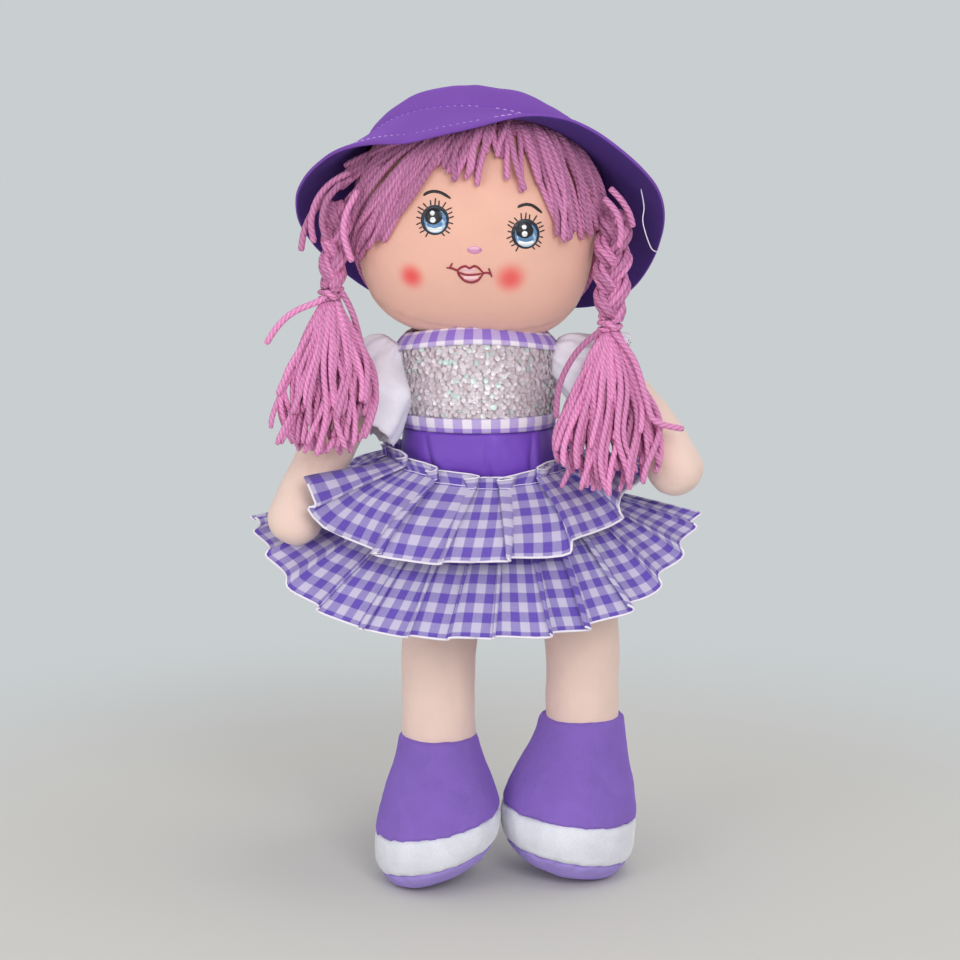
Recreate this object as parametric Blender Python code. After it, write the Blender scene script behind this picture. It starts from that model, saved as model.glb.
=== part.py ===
"""A standing rag doll with a soft hat, plaited yarn hair, a ruffled dress and soft boots.

Lengths are in metres, +Z is up and the doll faces -Y, so its own left side is at +X. The origin lies on the
floor, under the middle of the doll. Every stuffed piece is one solid, skin and stuffing together.
"""

from math import cos, degrees, pi, radians, sin, sqrt

import bmesh
import bpy
from mathutils import Matrix, Vector

# Clearances
GAP = 0.0003  # between pieces that touch
HAT_EASE = 0.0006  # between the hat and the hair
FLAT_CUT = 0.0005  # depth of the flat that each sole stands on

# Torso and neck
HIP_Z = 0.168  # the hip seams, which the legs swing about
TORSO_TOP_Z = 0.2735
TORSO_HALF_WIDTH = 0.038
TORSO_HALF_DEPTH = 0.027
CHEST_X = 0.001
PELVIS_X = 0.016
NECK_RADIUS = 0.0135
NECK_SINK = 0.002  # of the torso's top below the neck's middle

# height, half width, half depth and lean towards the pelvis, from the seam to the shoulders
TORSO_SHARES = (
    (0.00, 1.16, 0.03, 1.00),
    (0.03, 1.20, 0.13, 0.99),
    (0.10, 1.20, 0.36, 0.92),
    (0.20, 1.12, 0.66, 0.72),
    (0.30, 1.02, 0.88, 0.45),
    (0.45, 0.96, 0.97, 0.15),
    (0.60, 0.92, 0.96, 0.03),
    (0.74, 1.00, 1.00, 0.00),
    (0.86, 0.99, 0.96, 0.00),
    (0.94, 0.95, 0.92, 0.00),
    (0.98, 0.82, 0.82, 0.00),
    (1.00, 0.62, 0.68, 0.00),
)

# Head, which leans towards the doll's left
HEAD_CENTRE = Vector((0.0014, -0.002, 0.334))
HEAD_HALF_WIDTH = 0.0575
HEAD_HALF_DEPTH = 0.047
HEAD_HALF_HEIGHT = 0.057
HEAD_LEAN_DEG = 9
JOWL_SHARE = 0.05  # how much wider the head grows towards the chin

# Hair
CAP_THICKNESS = 0.0032
FRINGE_THICKNESS = 0.003
FRINGE_EASE = 0.0007  # between the cap and the fringe that lies over it
HAIR_POLE = Vector((0, 0.6, 0.8))  # the middle of the yarn cap, up and back
CAP_REACH_DEG = 84
CAP_SIDE_REACH_DEG = 14  # further down beside the cheeks
CAP_NAPE_REACH_DEG = 22  # further down at the nape
FRINGE_TOP_DEG = 75
FRINGE_SPREAD_DEG = 78  # each way from the middle of the forehead
FRINGE_CLEAR_DEG = 8  # past the cap's edge before the fringe bends in
FRINGE_BEND_DEG = 16  # over which it bends in to the forehead
# lower end of the fringe in degrees from the hair's pole, from the doll's right temple to its left one
FRINGE_END_DEG = (128, 124, 119, 108, 98, 91, 89, 89, 91, 97, 106, 115, 120, 124)

# Hat: a dome over a tilted headline ring, and a brim that falls away from it
HAT_TILT_DEG = 40  # of the dome's axis, back from upright
HAT_MIDDLE = Vector((-0.0004, 0.015, 0.019))  # of the headline, from the head's centre
CROWN_HALF_WIDTH = 0.0605
CROWN_HALF_DEPTH = 0.0545
CROWN_HEIGHT = 0.0352
FELT_THICKNESS = 0.0018
DOME_SHARE = 0.8  # below 1 the crown's shoulder is fuller than an oval's
BRIM_WAVE = 0.0035
BRIM_WAVES = 5
# reach outwards and fall of the brim, from the forehead to the nape
BRIM_REACH = (0.014, 0.020, 0.028, 0.031, 0.032, 0.031, 0.029)
BRIM_FALL = (0.018, 0.024, 0.026, 0.026, 0.025, 0.022, 0.020)

# Plaits, ties and tassels; x and z are where each hangs, in the order right, left
PLAIT_HALF_WIDTH = 0.0042  # of the path that a strand weaves
PLAIT_HALF_DEPTH = 0.0024
STRAND_RADIUS = 0.0039
PLAIT_PITCH = 0.040  # length over which a strand returns to its place
PLAIT_CORE_SHARE = 0.8  # of the core that the strands lie on, of a strand's radius
PLAIT_TOP_NARROW_SHARE = 0.25
PLAIT_END_NARROW_SHARE = 0.35
STRAND_END_THIN_SHARE = 0.3
PLAIT_TOP_Y = -0.015
PLAIT_TIE_Y = -0.026
PLAIT_TOP_Z = {"right": 0.3385, "left": 0.3330}
PLAIT_TIE_Z = {"right": 0.2985, "left": 0.2835}
PLAIT_TOP_X = {"right": -0.0625, "left": 0.0650}
# turns of a plait's swing at which the fringe's edge is cleared
PLAIT_SWINGS_DEG = (5, 10, 15, 20, 25, 30, 35, 40)
PLAIT_TIE_X = {"right": -0.0700, "left": 0.0660}
PLAIT_END_RISE = 0.0022  # of the slanted strands' ends above the tie
TIE_RADIUS = 0.0068
TIE_CORD_RADIUS = 0.0013
TASSEL_HALF_WIDTH = 0.0255
TASSEL_HALF_DEPTH = 0.0115
TASSEL_BOTTOM_Z = {"right": 0.2210, "left": 0.2040}
TASSEL_BOTTOM_X = {"right": -0.0720, "left": 0.0640}
TASSEL_BOTTOM_Y = -0.054
TASSEL_FRAY = 0.0035  # how far the ends of the yarn stagger
TASSEL_FRAY_TURN_DEG = 137.5  # between one end's stagger and the next
TASSEL_LOCKS = 12
# level, half width, half depth, way forward and depth of the grooves between locks
TASSEL_SHARES = (
    (0.00, 0.152, 0.335, 0.00, 0.00),
    (0.05, 0.152, 0.335, 0.00, 0.00),
    (0.11, 0.34, 0.54, 0.22, 0.05),
    (0.24, 0.62, 0.76, 0.50, 0.07),
    (0.42, 0.82, 0.95, 0.74, 0.08),
    (0.64, 0.95, 1.00, 0.88, 0.09),
    (0.86, 1.00, 0.94, 0.96, 0.10),
    (1.00, 0.96, 0.80, 1.00, 0.12),
)

# Arms: the shoulder seam, the bend and the middle of the hand
ARM_RADIUS = 0.012
HAND_SWELL_SHARE = 0.13
ARM_STEP_SHARE = 0.01  # of the arm's length, over which its direction is read
SHOULDER_SPREAD = 0.0480
SHOULDER_Y = -0.002
SHOULDER_Z = 0.262
ELBOW_OUT = {"right": 0.0665, "left": 0.0790}
ELBOW_Y = {"right": -0.010, "left": -0.008}
ELBOW_Z = {"right": 0.238, "left": 0.250}
HAND_OUT = {"right": 0.0880, "left": 0.0985}
HAND_Y = {"right": -0.030, "left": -0.028}
HAND_Z = {"right": 0.1885, "left": 0.2130}

# Legs, which swing on a thin sewn edge
LEG_RADIUS = 0.0190
LEG_TOP_HALF_WIDTH = 0.0165
HIP_SPREAD = 0.027
HIP_EDGE_RADIUS = 0.0015
HIP_EDGE_LENGTH = 0.003
HIP_EDGE_TURNS_DEG = (60, 25)  # of the rings that round the sewn edge
LEG_X = {"right": -0.0185, "left": 0.0548}
LEG_Y = {"right": -0.006, "left": 0.006}
# depth below the sewn edge, half width, half depth and way out to the ankle
LEG_SHARES = (
    (0.06, 0.92, 0.30, 0.10),
    (0.14, 0.96, 0.60, 0.30),
    (0.24, 1.00, 0.88, 0.58),
    (0.36, 1.00, 1.00, 0.85),
    (0.52, 0.99, 0.99, 1.00),
    (0.72, 0.96, 0.96, 1.00),
    (0.90, 0.98, 0.98, 1.00),
    (1.00, 0.99, 0.99, 1.00),
)

# Boots
BOOT_TOP_Z = {"right": 0.0720, "left": 0.0790}
BOOT_HALF_WIDTH = {"right": 0.0315, "left": 0.0340}
BOOT_HALF_LENGTH = 0.037
BOOT_X = {"right": -0.0190, "left": 0.0468}
BOOT_FORWARD = 0.013  # of the foot's middle from the leg
BOOT_TIP_SHARE = {"right": 0.30, "left": 0.20}  # rise of the inner edge over the boot's width
COLLAR_DEPTH = 0.006
SOLE_TOP_SHARE = 0.10
BAND_TOP_SHARE = 0.36
# level, half width, half length and way back to the leg
BOOT_SHARES = (
    (-0.06, 0.42, 0.48, 0.00),
    (-0.01, 0.74, 0.78, 0.00),
    (0.10, 0.94, 0.94, 0.02),
    (0.22, 1.00, 1.00, 0.06),
    (0.36, 1.00, 0.97, 0.16),
    (0.50, 0.94, 0.89, 0.32),
    (0.64, 0.84, 0.78, 0.52),
    (0.78, 0.73, 0.67, 0.74),
    (0.90, 0.65, 0.59, 0.92),
    (1.00, 0.62, 0.56, 1.00),
)

# Dress
BODICE_WALL = 0.0014
BODICE_FOOT_Z = 0.2303
NECKLINE_Z = 0.2825
NECKLINE_DROP = 0.006  # from the front to the shoulders
SHOULDER_LEVEL_SHARE = 0.86  # above it the bodice rises straight
RIBBON_WALL = 0.0011
NECK_RIBBON_HEIGHT = 0.0086
WAIST_RIBBON_HEIGHT = 0.0070
YOKE_WALL = 0.0015
YOKE_FOOT_Z = 0.2010
SLEEVE_LENGTH = 0.034
SLEEVE_RADIUS = 0.0128
SLEEVE_FLARE = 0.0075
SLEEVE_WALL = 0.0012
SLEEVE_FRILL = 0.0012
SLEEVE_FRILLS = 8
SLEEVE_CAP_TURNS_DEG = (35, 60)  # of the rings that close the sleeve over the round shoulder

# Ruffles: where each is sewn on, its hem and its pleats; z is given for the front and the rise to the sides
UPPER_HEAD_Z = 0.2075
UPPER_HEAD_RISE = 0.0090
UPPER_HEM_Z = 0.1705
UPPER_HEM_RISE = 0.0300
UPPER_HALF_WIDTH = 0.0815
UPPER_HALF_DEPTH = 0.0660
UPPER_PLEATS = 26
UPPER_BELLY = 0.0040
LOWER_HEAD_Z = 0.2018
LOWER_HEAD_RISE = 0.0010
LOWER_BELLY = 0.0010
LOWER_HEM_Z = 0.1355
LOWER_HEM_RISE = 0.0480
LOWER_HALF_WIDTH = 0.1105
LOWER_HALF_DEPTH = 0.0735
LOWER_PLEATS = 34
RUFFLE_WALL = 0.0014
PLEAT_DEPTH = 0.0030
PLEAT_ROOT_SHARE = 0.12
PLEAT_LEAN_SHARE = 0.16  # how far a pleat leans over its neighbour

# Facets
BODY_SIDES = 28
LIMB_SIDES = 18
BALL_SIDES = 24
BALL_RINGS = 14
HEAD_RINGS = 14
HAT_SIDES = 36
CAP_RINGS = 7
STRAND_SIDES = 8
STRAND_STEPS = 15
TIE_SIDES = 6
SAMPLES_PER_PLEAT = 3
SAMPLES_PER_LOCK = 3
RUFFLE_ROWS = 3
SLEEVE_ROWS = 3
SAMPLES_PER_FRILL = 3
FRINGE_ROWS = 5
FRINGE_COLUMNS = 20
CROWN_RINGS = 6
BRIM_ROWS = 3
SHOULDER_RINGS = 4
ARM_RINGS = 6
SHARP_EDGE_DEG = 50

SIGN = {"right": -1, "left": 1}
SIDES = ("right", "left")
ACROSS = Vector((1, 0, 0))
BACK = Vector((0, 1, 0))
UP = Vector((0, 0, 1))

# colour in sRGB and roughness
FINISHES = {
    "skin_head": ("EDC3AA", 0.85),
    "skin_limb": ("E6CABC", 0.85),
    "yarn": ("CC7BAE", 0.95),
    "hat_felt": ("6F44A6", 0.90),
    "hat_brim_felt": ("5E3A94", 0.90),
    "sequin_cloth": ("D8CDD2", 0.40),
    "gingham": ("9C86CC", 0.85),
    "ribbon": ("B79AD8", 0.70),
    "white_cotton": ("E6E3EC", 0.80),
    "yoke_cloth": ("7A4FBC", 0.75),
    "plush_purple": ("7D5AB8", 0.95),
    "plush_white": ("D9DCE0", 0.95),
    "tie_yarn": ("B4669A", 0.95),
}


def linear(hex_colour):
    """The linear colour of an sRGB hex value."""
    parts = [int(hex_colour[i : i + 2], 16) / 255 for i in (0, 2, 4)]
    return [c / 12.92 if c <= 0.04045 else ((c + 0.055) / 1.055) ** 2.4 for c in parts]


def make_material(name):
    colour, roughness = FINISHES[name]
    material = bpy.data.materials.new(name)
    material.use_nodes = True
    shader = material.node_tree.nodes["Principled BSDF"]
    shader.inputs["Base Color"].default_value = (*linear(colour), 1)
    shader.inputs["Roughness"].default_value = roughness
    shader.inputs["Metallic"].default_value = 0
    return material


def world_place(empty):
    """Where an unturned empty stands, through its parents."""
    place = Vector()
    while empty:
        place += empty.location
        empty = empty.parent
    return place


def make_pivot(name, place, parent):
    """An empty on a joint, which the moving pieces hang from."""
    empty = bpy.data.objects.new(name, None)
    bpy.context.collection.objects.link(empty)
    empty.parent = parent
    empty.location = Vector(place) - world_place(parent)
    return empty


def read_shares(table, at, column):
    """A column of a table of shares, read at a level."""
    for low, high in zip(table, table[1:]):
        if at <= high[0]:
            part = max(0, (at - low[0]) / (high[0] - low[0]))
            return low[column] + (high[column] - low[column]) * part
    return table[-1][column]


def read_list(values, share):
    """A value from an evenly spaced list, read with smooth steps between."""
    place = share * (len(values) - 1)
    low = min(int(place), len(values) - 2)
    part = place - low
    return values[low] + (values[low + 1] - values[low]) * part


def turns(sides):
    return [2 * pi * step / sides for step in range(sides)]


def oval(centre, half_width, half_depth, sides, across=ACROSS, along=BACK):
    """A ring of points; its first point lies along minus along, and it runs towards across."""
    return [
        centre + across * (half_width * sin(turn)) - along * (half_depth * cos(turn))
        for turn in turns(sides)
    ]


def skin(rings, looped=False):
    """A closed surface over equal rings. Fans close its ends, or the ends meet when it is looped."""
    bm = bmesh.new()
    rows = [[bm.verts.new(point) for point in ring] for ring in rings]
    count = len(rows[0])
    pairs = list(zip(rows, rows[1:]))
    if looped:
        pairs.append((rows[-1], rows[0]))
    for near, far in pairs:
        for step in range(count):
            after = (step + 1) % count
            bm.faces.new((near[step], near[after], far[after], far[step]))
    if not looped:
        for row in (rows[0], rows[-1]):
            middle = bm.verts.new(sum((vert.co for vert in row), Vector()) / count)
            for step in range(count):
                bm.faces.new((row[step], row[(step + 1) % count], middle))
    bmesh.ops.recalc_face_normals(bm, faces=bm.faces)
    return bm


def slab(back, front):
    """A closed wall between two equal grids of points."""
    bm = bmesh.new()
    grids = [[[bm.verts.new(point) for point in row] for row in grid] for grid in (back, front)]
    for grid in grids:
        for near, far in zip(grid, grid[1:]):
            for step in range(len(near) - 1):
                bm.faces.new((near[step], near[step + 1], far[step + 1], far[step]))
    borders = []
    for grid in grids:
        right = [row[-1] for row in grid[1:-1]]
        left = [row[0] for row in grid[1:-1]]
        borders.append(grid[0] + right + grid[-1][::-1] + left[::-1])
    count = len(borders[0])
    for step in range(count):
        after = (step + 1) % count
        bm.faces.new((borders[0][step], borders[0][after], borders[1][after], borders[1][step]))
    bmesh.ops.recalc_face_normals(bm, faces=bm.faces)
    return bm


def add_piece(name, bm, material, pivot):
    """Turns a surface in world coordinates into an object with its origin on its pivot."""
    place = world_place(pivot)
    bmesh.ops.translate(bm, verts=bm.verts, vec=-place)
    mesh = bpy.data.meshes.new(name)
    bm.to_mesh(mesh)
    bm.free()
    mesh.shade_smooth()
    mesh.set_sharp_from_angle(angle=radians(SHARP_EDGE_DEG))
    piece = bpy.data.objects.new(name, mesh)
    bpy.context.collection.objects.link(piece)
    piece.parent = pivot
    mesh.materials.append(material)
    return piece


def as_cutter(piece):
    piece.hide_render = True
    piece.display_type = "WIRE"
    return piece


def ball(centre, radius):
    """A sphere of rings, from the bottom to the top."""
    rings = []
    for step in range(1, BALL_RINGS):
        turn = pi * step / BALL_RINGS
        level = centre - UP * (radius * cos(turn))
        rings.append(oval(level, radius * sin(turn), radius * sin(turn), BALL_SIDES))
    return skin(rings)


def grown_copy(name, piece, growth, pivot):
    """A cutter: the finished surface of a piece, moved outwards by a clearance."""
    bpy.context.view_layer.update()
    shown = piece.evaluated_get(bpy.context.evaluated_depsgraph_get())
    bm = bmesh.new()
    bm.from_mesh(shown.to_mesh())
    bmesh.ops.transform(bm, matrix=piece.matrix_world, verts=bm.verts)
    bm.normal_update()
    moves = [vert.normal * (growth * vert.calc_shell_factor()) for vert in bm.verts]
    for vert, move in zip(bm.verts, moves):
        vert.co += move
    return as_cutter(add_piece(name, bm, piece.data.materials[0], pivot))


def swing_room(side, angle, fringe, pivot):
    """A cutter: the fringe as the plait meets it once the plait has swung out by an angle."""
    room = grown_copy(f"swing_room_{angle}_{side}", fringe, GAP, pivot)
    room.data.transform(Matrix.Rotation(radians(SIGN[side] * angle), 4, "Y"))
    return room


def cut(piece, cutter):
    change = piece.modifiers.new(cutter.name, "BOOLEAN")
    change.operation = "DIFFERENCE"
    change.object = cutter
    return piece


# Torso


def torso_bottom_z():
    return HIP_Z + HIP_EDGE_RADIUS + GAP


def torso_level(z):
    return (z - torso_bottom_z()) / (TORSO_TOP_Z - torso_bottom_z())


def torso_oval(z, offset, sides=BODY_SIDES, highest=1):
    """The torso's outline at a height, moved outwards. Above the highest level it rises straight."""
    level = min(torso_level(z), highest)
    half_width = TORSO_HALF_WIDTH * read_shares(TORSO_SHARES, level, 1)
    half_depth = TORSO_HALF_DEPTH * read_shares(TORSO_SHARES, level, 2)
    lean = read_shares(TORSO_SHARES, level, 3)
    centre = ACROSS * (CHEST_X + (PELVIS_X - CHEST_X) * lean) + UP * z
    return oval(centre, half_width + offset, half_depth + offset, sides)


def build_torso(material, pivot):
    height = TORSO_TOP_Z - torso_bottom_z()
    rings = [torso_oval(torso_bottom_z() + height * row[0], 0) for row in TORSO_SHARES]
    return add_piece("torso", skin(rings), material, pivot)


def neck_middle():
    return Vector((CHEST_X, 0, TORSO_TOP_Z + NECK_SINK))


# Head, hair and hat, each in the leaning head's own frame


def head_frame():
    return Matrix.Translation(HEAD_CENTRE) @ Matrix.Rotation(radians(HEAD_LEAN_DEG), 4, "Y")


def head_point(direction, offset):
    """A point of the head's surface, moved outwards, in the head's frame."""
    width = (HEAD_HALF_WIDTH + offset) * (1 - JOWL_SHARE * direction.z)
    depth = HEAD_HALF_DEPTH + offset
    return Vector((width * direction.x, depth * direction.y, (HEAD_HALF_HEIGHT + offset) * direction.z))


def clear_of_head(point, offset):
    """The point, moved away from the head's centre where it is less than the offset from its surface."""
    high = point.z / (HEAD_HALF_HEIGHT + offset)
    wide = point.x / ((HEAD_HALF_WIDTH + offset) * (1 - JOWL_SHARE * min(1, max(-1, high))))
    deep = point.y / (HEAD_HALF_DEPTH + offset)
    reach = sqrt(wide**2 + deep**2 + high**2)
    return point / reach if reach < 1 else point


def build_head(material, pivot):
    rings = []
    for step in range(1, HEAD_RINGS):
        turn = pi * step / HEAD_RINGS
        level = [
            head_point(Vector((sin(turn) * sin(around), -sin(turn) * cos(around), -cos(turn))), 0)
            for around in turns(BODY_SIDES)
        ]
        rings.append([head_frame() @ point for point in level])
    return add_piece("head", skin(rings), material, pivot)


def hair_direction(from_pole, around):
    """A direction at an angle from the hair's pole, round from the forehead towards the doll's left."""
    forehead = ACROSS.cross(HAIR_POLE).normalized()
    sideways = ACROSS * sin(around) + forehead * cos(around)
    return HAIR_POLE * cos(from_pole) + sideways * sin(from_pole)


def cap_reach(around):
    """The angle from the hair's pole at which the yarn cap ends."""
    side = CAP_SIDE_REACH_DEG * sin(around) ** 2
    nape = CAP_NAPE_REACH_DEG * (1 - cos(around)) ** 2 / 4
    return radians(CAP_REACH_DEG + side + nape)


def build_hair_cap(material, pivot):
    """A shell of yarn over the crown and back of the head."""
    inner, outer = [], []
    for step in range(CAP_RINGS):
        share = (step + 1) / CAP_RINGS
        low, high = [], []
        for around in turns(BODY_SIDES):
            direction = hair_direction(cap_reach(around) * share, around)
            low.append(head_frame() @ head_point(direction, -GAP))
            high.append(head_frame() @ head_point(direction, GAP + CAP_THICKNESS))
        inner.append(low)
        outer.append(high)
    return add_piece("hair_cap", skin(outer + inner[::-1]), material, pivot)


def fringe_lift(from_pole, around):
    """How far the fringe's back lies off the head: over the cap at first, then close to the forehead."""
    over_cap = GAP + CAP_THICKNESS + FRINGE_EASE
    past = (degrees(from_pole - cap_reach(around)) - FRINGE_CLEAR_DEG) / FRINGE_BEND_DEG
    return over_cap + (GAP - over_cap) * min(1, max(0, past))


def fringe_end(share):
    return radians(read_list(FRINGE_END_DEG, share))


def build_fringe(material, pivot):
    """A wall of yarn over the forehead, longer at the temples."""
    back, front = [], []
    for row in range(FRINGE_ROWS + 1):
        low, high = [], []
        for column in range(FRINGE_COLUMNS + 1):
            share = column / FRINGE_COLUMNS
            around = radians(FRINGE_SPREAD_DEG) * (2 * share - 1)
            start = radians(FRINGE_TOP_DEG)
            from_pole = start + (fringe_end(share) - start) * row / FRINGE_ROWS
            lift = fringe_lift(from_pole, around)
            direction = hair_direction(from_pole, around)
            low.append(head_frame() @ head_point(direction, lift))
            high.append(head_frame() @ head_point(direction, lift + FRINGE_THICKNESS))
        back.append(low)
        front.append(high)
    return add_piece("fringe", slab(back, front), material, pivot)


def hat_point(around, reach, height):
    """A point at a reach outside the headline ring and a height on the dome's axis, in the head's frame."""
    tilt = radians(HAT_TILT_DEG)
    axis = BACK * sin(tilt) + UP * cos(tilt)
    forward = UP * sin(tilt) - BACK * cos(tilt)
    across = ACROSS * ((CROWN_HALF_WIDTH + reach) * sin(around))
    return HAT_MIDDLE + across + forward * ((CROWN_HALF_DEPTH + reach) * cos(around)) + axis * height


def dome_ring(share, thickness):
    """A ring of the crown; share is 0 at the headline and 1 at the top."""
    turn = share * pi / 2
    ring = []
    for around in turns(HAT_SIDES):
        rim = hat_point(around, -thickness, 0) - HAT_MIDDLE
        top = hat_point(0, -thickness, CROWN_HEIGHT - thickness) - hat_point(0, -thickness, 0)
        point = HAT_MIDDLE + rim * cos(turn) ** DOME_SHARE + top * sin(turn)
        keep = GAP + CAP_THICKNESS + HAT_EASE + FELT_THICKNESS - thickness
        ring.append(head_frame() @ clear_of_head(point, keep))
    return ring


def build_hat_crown(material, pivot):
    shares = [step / CROWN_RINGS for step in range(CROWN_RINGS)]
    outer = [dome_ring(share, 0) for share in shares]
    inner = [dome_ring(share, FELT_THICKNESS) for share in shares]
    return add_piece("hat_crown", skin(outer[::-1] + inner), material, pivot)


def brim_point(around, share):
    """A point of the brim's upper face; share is 0 at the headline and 1 at the edge."""
    to_back = abs((around + pi) % (2 * pi) - pi) / pi
    reach = read_list(BRIM_REACH, to_back) * share
    wave = BRIM_WAVE * sin(BRIM_WAVES * around) * share**2
    fall = read_list(BRIM_FALL, to_back) * share - wave
    return hat_point(around, reach, -GAP - fall)


def build_hat_brim(material, pivot):
    upper, lower = [], []
    for row in range(BRIM_ROWS + 1):
        share = row / BRIM_ROWS
        top, under = [], []
        for around in turns(HAT_SIDES):
            face = brim_point(around, share)
            inward = (hat_point(around, -FELT_THICKNESS, 0) - hat_point(around, 0, 0)).normalized()
            run = (brim_point(around, 1) - brim_point(around, 0)).normalized()
            square = (inward - run * inward.dot(run)).normalized()
            turn_in = square if row else inward
            top.append(head_frame() @ face)
            under.append(head_frame() @ (face + turn_in * FELT_THICKNESS))
        upper.append(top)
        lower.append(under)
    return add_piece("hat_brim", skin(upper + lower[::-1], looped=True), material, pivot)


# Plaits


def plait_top(side):
    return Vector((PLAIT_TOP_X[side], PLAIT_TOP_Y, PLAIT_TOP_Z[side]))


def plait_end(side):
    return Vector((PLAIT_TIE_X[side], PLAIT_TIE_Y, PLAIT_TIE_Z[side] + PLAIT_END_RISE))


def tube(points, radii, sides):
    """A round tube along a path, closed at both ends."""
    rings = []
    for step, point in enumerate(points):
        before = points[max(0, step - 1)]
        after = points[min(len(points) - 1, step + 1)]
        run = (after - before).normalized()
        across = run.cross(BACK).normalized()
        rings.append(oval(point, radii[step], radii[step], sides, across, across.cross(run)))
    return skin(rings)


def strand_path(side, strand):
    """One strand of the plait: it weaves to and fro once, and over and under twice, in each pitch."""
    top = plait_top(side)
    run = plait_end(side) - top
    across = run.cross(BACK).normalized()
    along = run.cross(across).normalized()
    path = []
    for step in range(STRAND_STEPS + 1):
        share = step / STRAND_STEPS
        turn = 2 * pi * (run.length * share / PLAIT_PITCH + strand / 3)
        narrow = 1 - PLAIT_END_NARROW_SHARE * share**4 - PLAIT_TOP_NARROW_SHARE * (1 - share) ** 6
        weave = across * (PLAIT_HALF_WIDTH * sin(turn)) + along * (PLAIT_HALF_DEPTH * sin(2 * turn))
        path.append(top + run * share + weave * narrow)
    return path


def build_plait(side, material, pivot):
    """Three strands over a core, fused where they press together. Its top is sewn to the hair."""
    path = [plait_top(side), plait_end(side)]
    steps = STRAND_STEPS // 2
    core = [path[0].lerp(path[1], step / steps) for step in range(steps + 1)]
    radii = [STRAND_RADIUS * PLAIT_CORE_SHARE] * (steps + 1)
    plait = add_piece(f"plait_{side}", tube(core, radii, STRAND_SIDES), material, pivot)
    for strand in range(3):
        points = strand_path(side, strand)
        ends = [abs(2 * step / STRAND_STEPS - 1) ** 6 for step in range(STRAND_STEPS + 1)]
        radii = [STRAND_RADIUS * (1 - STRAND_END_THIN_SHARE * end) for end in ends]
        name = f"strand_{strand}_{side}"
        piece = as_cutter(add_piece(name, tube(points, radii, STRAND_SIDES), material, pivot))
        join = plait.modifiers.new(name, "BOOLEAN")
        join.operation = "UNION"
        join.object = piece
    return plait


def build_tie(side, material, pivot):
    """A ring of yarn between the plait and its tassel."""
    centre = Vector((PLAIT_TIE_X[side], PLAIT_TIE_Y, PLAIT_TIE_Z[side] - TIE_CORD_RADIUS - GAP))
    rings = []
    for turn in turns(TIE_SIDES * 2):
        outward = ACROSS * sin(turn) - BACK * cos(turn)
        middle = centre + outward * (TIE_RADIUS - TIE_CORD_RADIUS)
        rings.append(oval(middle, TIE_CORD_RADIUS, TIE_CORD_RADIUS, TIE_SIDES, outward, UP))
    return add_piece(f"plait_tie_{side}", skin(rings, looped=True), material, pivot)


def build_tassel(side, material, pivot):
    """A bell of loose yarn, grooved between its locks, with staggered ends."""
    top = Vector((PLAIT_TIE_X[side], PLAIT_TIE_Y, PLAIT_TIE_Z[side]))
    end = Vector((TASSEL_BOTTOM_X[side], TASSEL_BOTTOM_Y, TASSEL_BOTTOM_Z[side]))
    sides = TASSEL_LOCKS * SAMPLES_PER_LOCK
    rings = []
    for level, wide, deep, forward, groove in TASSEL_SHARES:
        centre = Vector((
            top.x + (end.x - top.x) * level,
            top.y + (end.y - top.y) * forward,
            top.z + (end.z - top.z) * level,
        ))
        ring = []
        for step, turn in enumerate(turns(sides)):
            ripple = 1 - groove * cos(2 * pi * step / SAMPLES_PER_LOCK)
            across = ACROSS * (TASSEL_HALF_WIDTH * wide * ripple * sin(turn))
            deepness = BACK * (TASSEL_HALF_DEPTH * deep * ripple * cos(turn))
            fray = UP * (TASSEL_FRAY * sin(radians(TASSEL_FRAY_TURN_DEG) * step) * level**3)
            ring.append(centre + across - deepness + fray)
        rings.append(ring)
    return add_piece(f"tassel_{side}", skin(rings), material, pivot)


# Arms and legs


def shoulder(side):
    return Vector((CHEST_X + SIGN[side] * SHOULDER_SPREAD, SHOULDER_Y, SHOULDER_Z))


def arm_path(side, share):
    """A bend from the shoulder to the middle of the hand."""
    start = shoulder(side)
    bend = Vector((SIGN[side] * ELBOW_OUT[side], ELBOW_Y[side], ELBOW_Z[side]))
    hand = Vector((SIGN[side] * HAND_OUT[side], HAND_Y[side], HAND_Z[side]))
    return start.lerp(bend, share).lerp(bend.lerp(hand, share), share)


def arm_run(side, share):
    """The direction of the arm at a share of its length."""
    ahead = arm_path(side, min(1, share + ARM_STEP_SHARE))
    behind = arm_path(side, max(0, share - ARM_STEP_SHARE))
    return (ahead - behind).normalized()


def build_arm(side, material, pivot):
    """A stuffed arm: a round shoulder that turns on the body, and a fuller mitten hand."""
    stations = []
    for step in range(1, SHOULDER_RINGS + 1):
        turn = pi / 2 * step / SHOULDER_RINGS
        back = -ARM_RADIUS * cos(turn)
        stations.append((0, back, ARM_RADIUS * sin(turn)))
    for step in range(1, ARM_RINGS + 1):
        share = step / ARM_RINGS
        stations.append((share, 0, ARM_RADIUS * (1 + HAND_SWELL_SHARE * share**2)))
    hand_radius = ARM_RADIUS * (1 + HAND_SWELL_SHARE)
    for step in range(1, SHOULDER_RINGS):
        turn = pi / 2 * step / SHOULDER_RINGS
        stations.append((1, hand_radius * sin(turn), hand_radius * cos(turn)))
    rings = []
    for share, ahead, radius in stations:
        run = arm_run(side, share)
        across = run.cross(BACK).normalized()
        centre = arm_path(side, share) + run * ahead
        rings.append(oval(centre, radius, radius, LIMB_SIDES, across, across.cross(run)))
    return add_piece(f"arm_{side}", skin(rings), material, pivot)


def hip(side):
    return Vector((PELVIS_X + SIGN[side] * HIP_SPREAD, 0, HIP_Z))


def leg_foot_z(side):
    return BOOT_TOP_Z[side] - COLLAR_DEPTH + GAP


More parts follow.
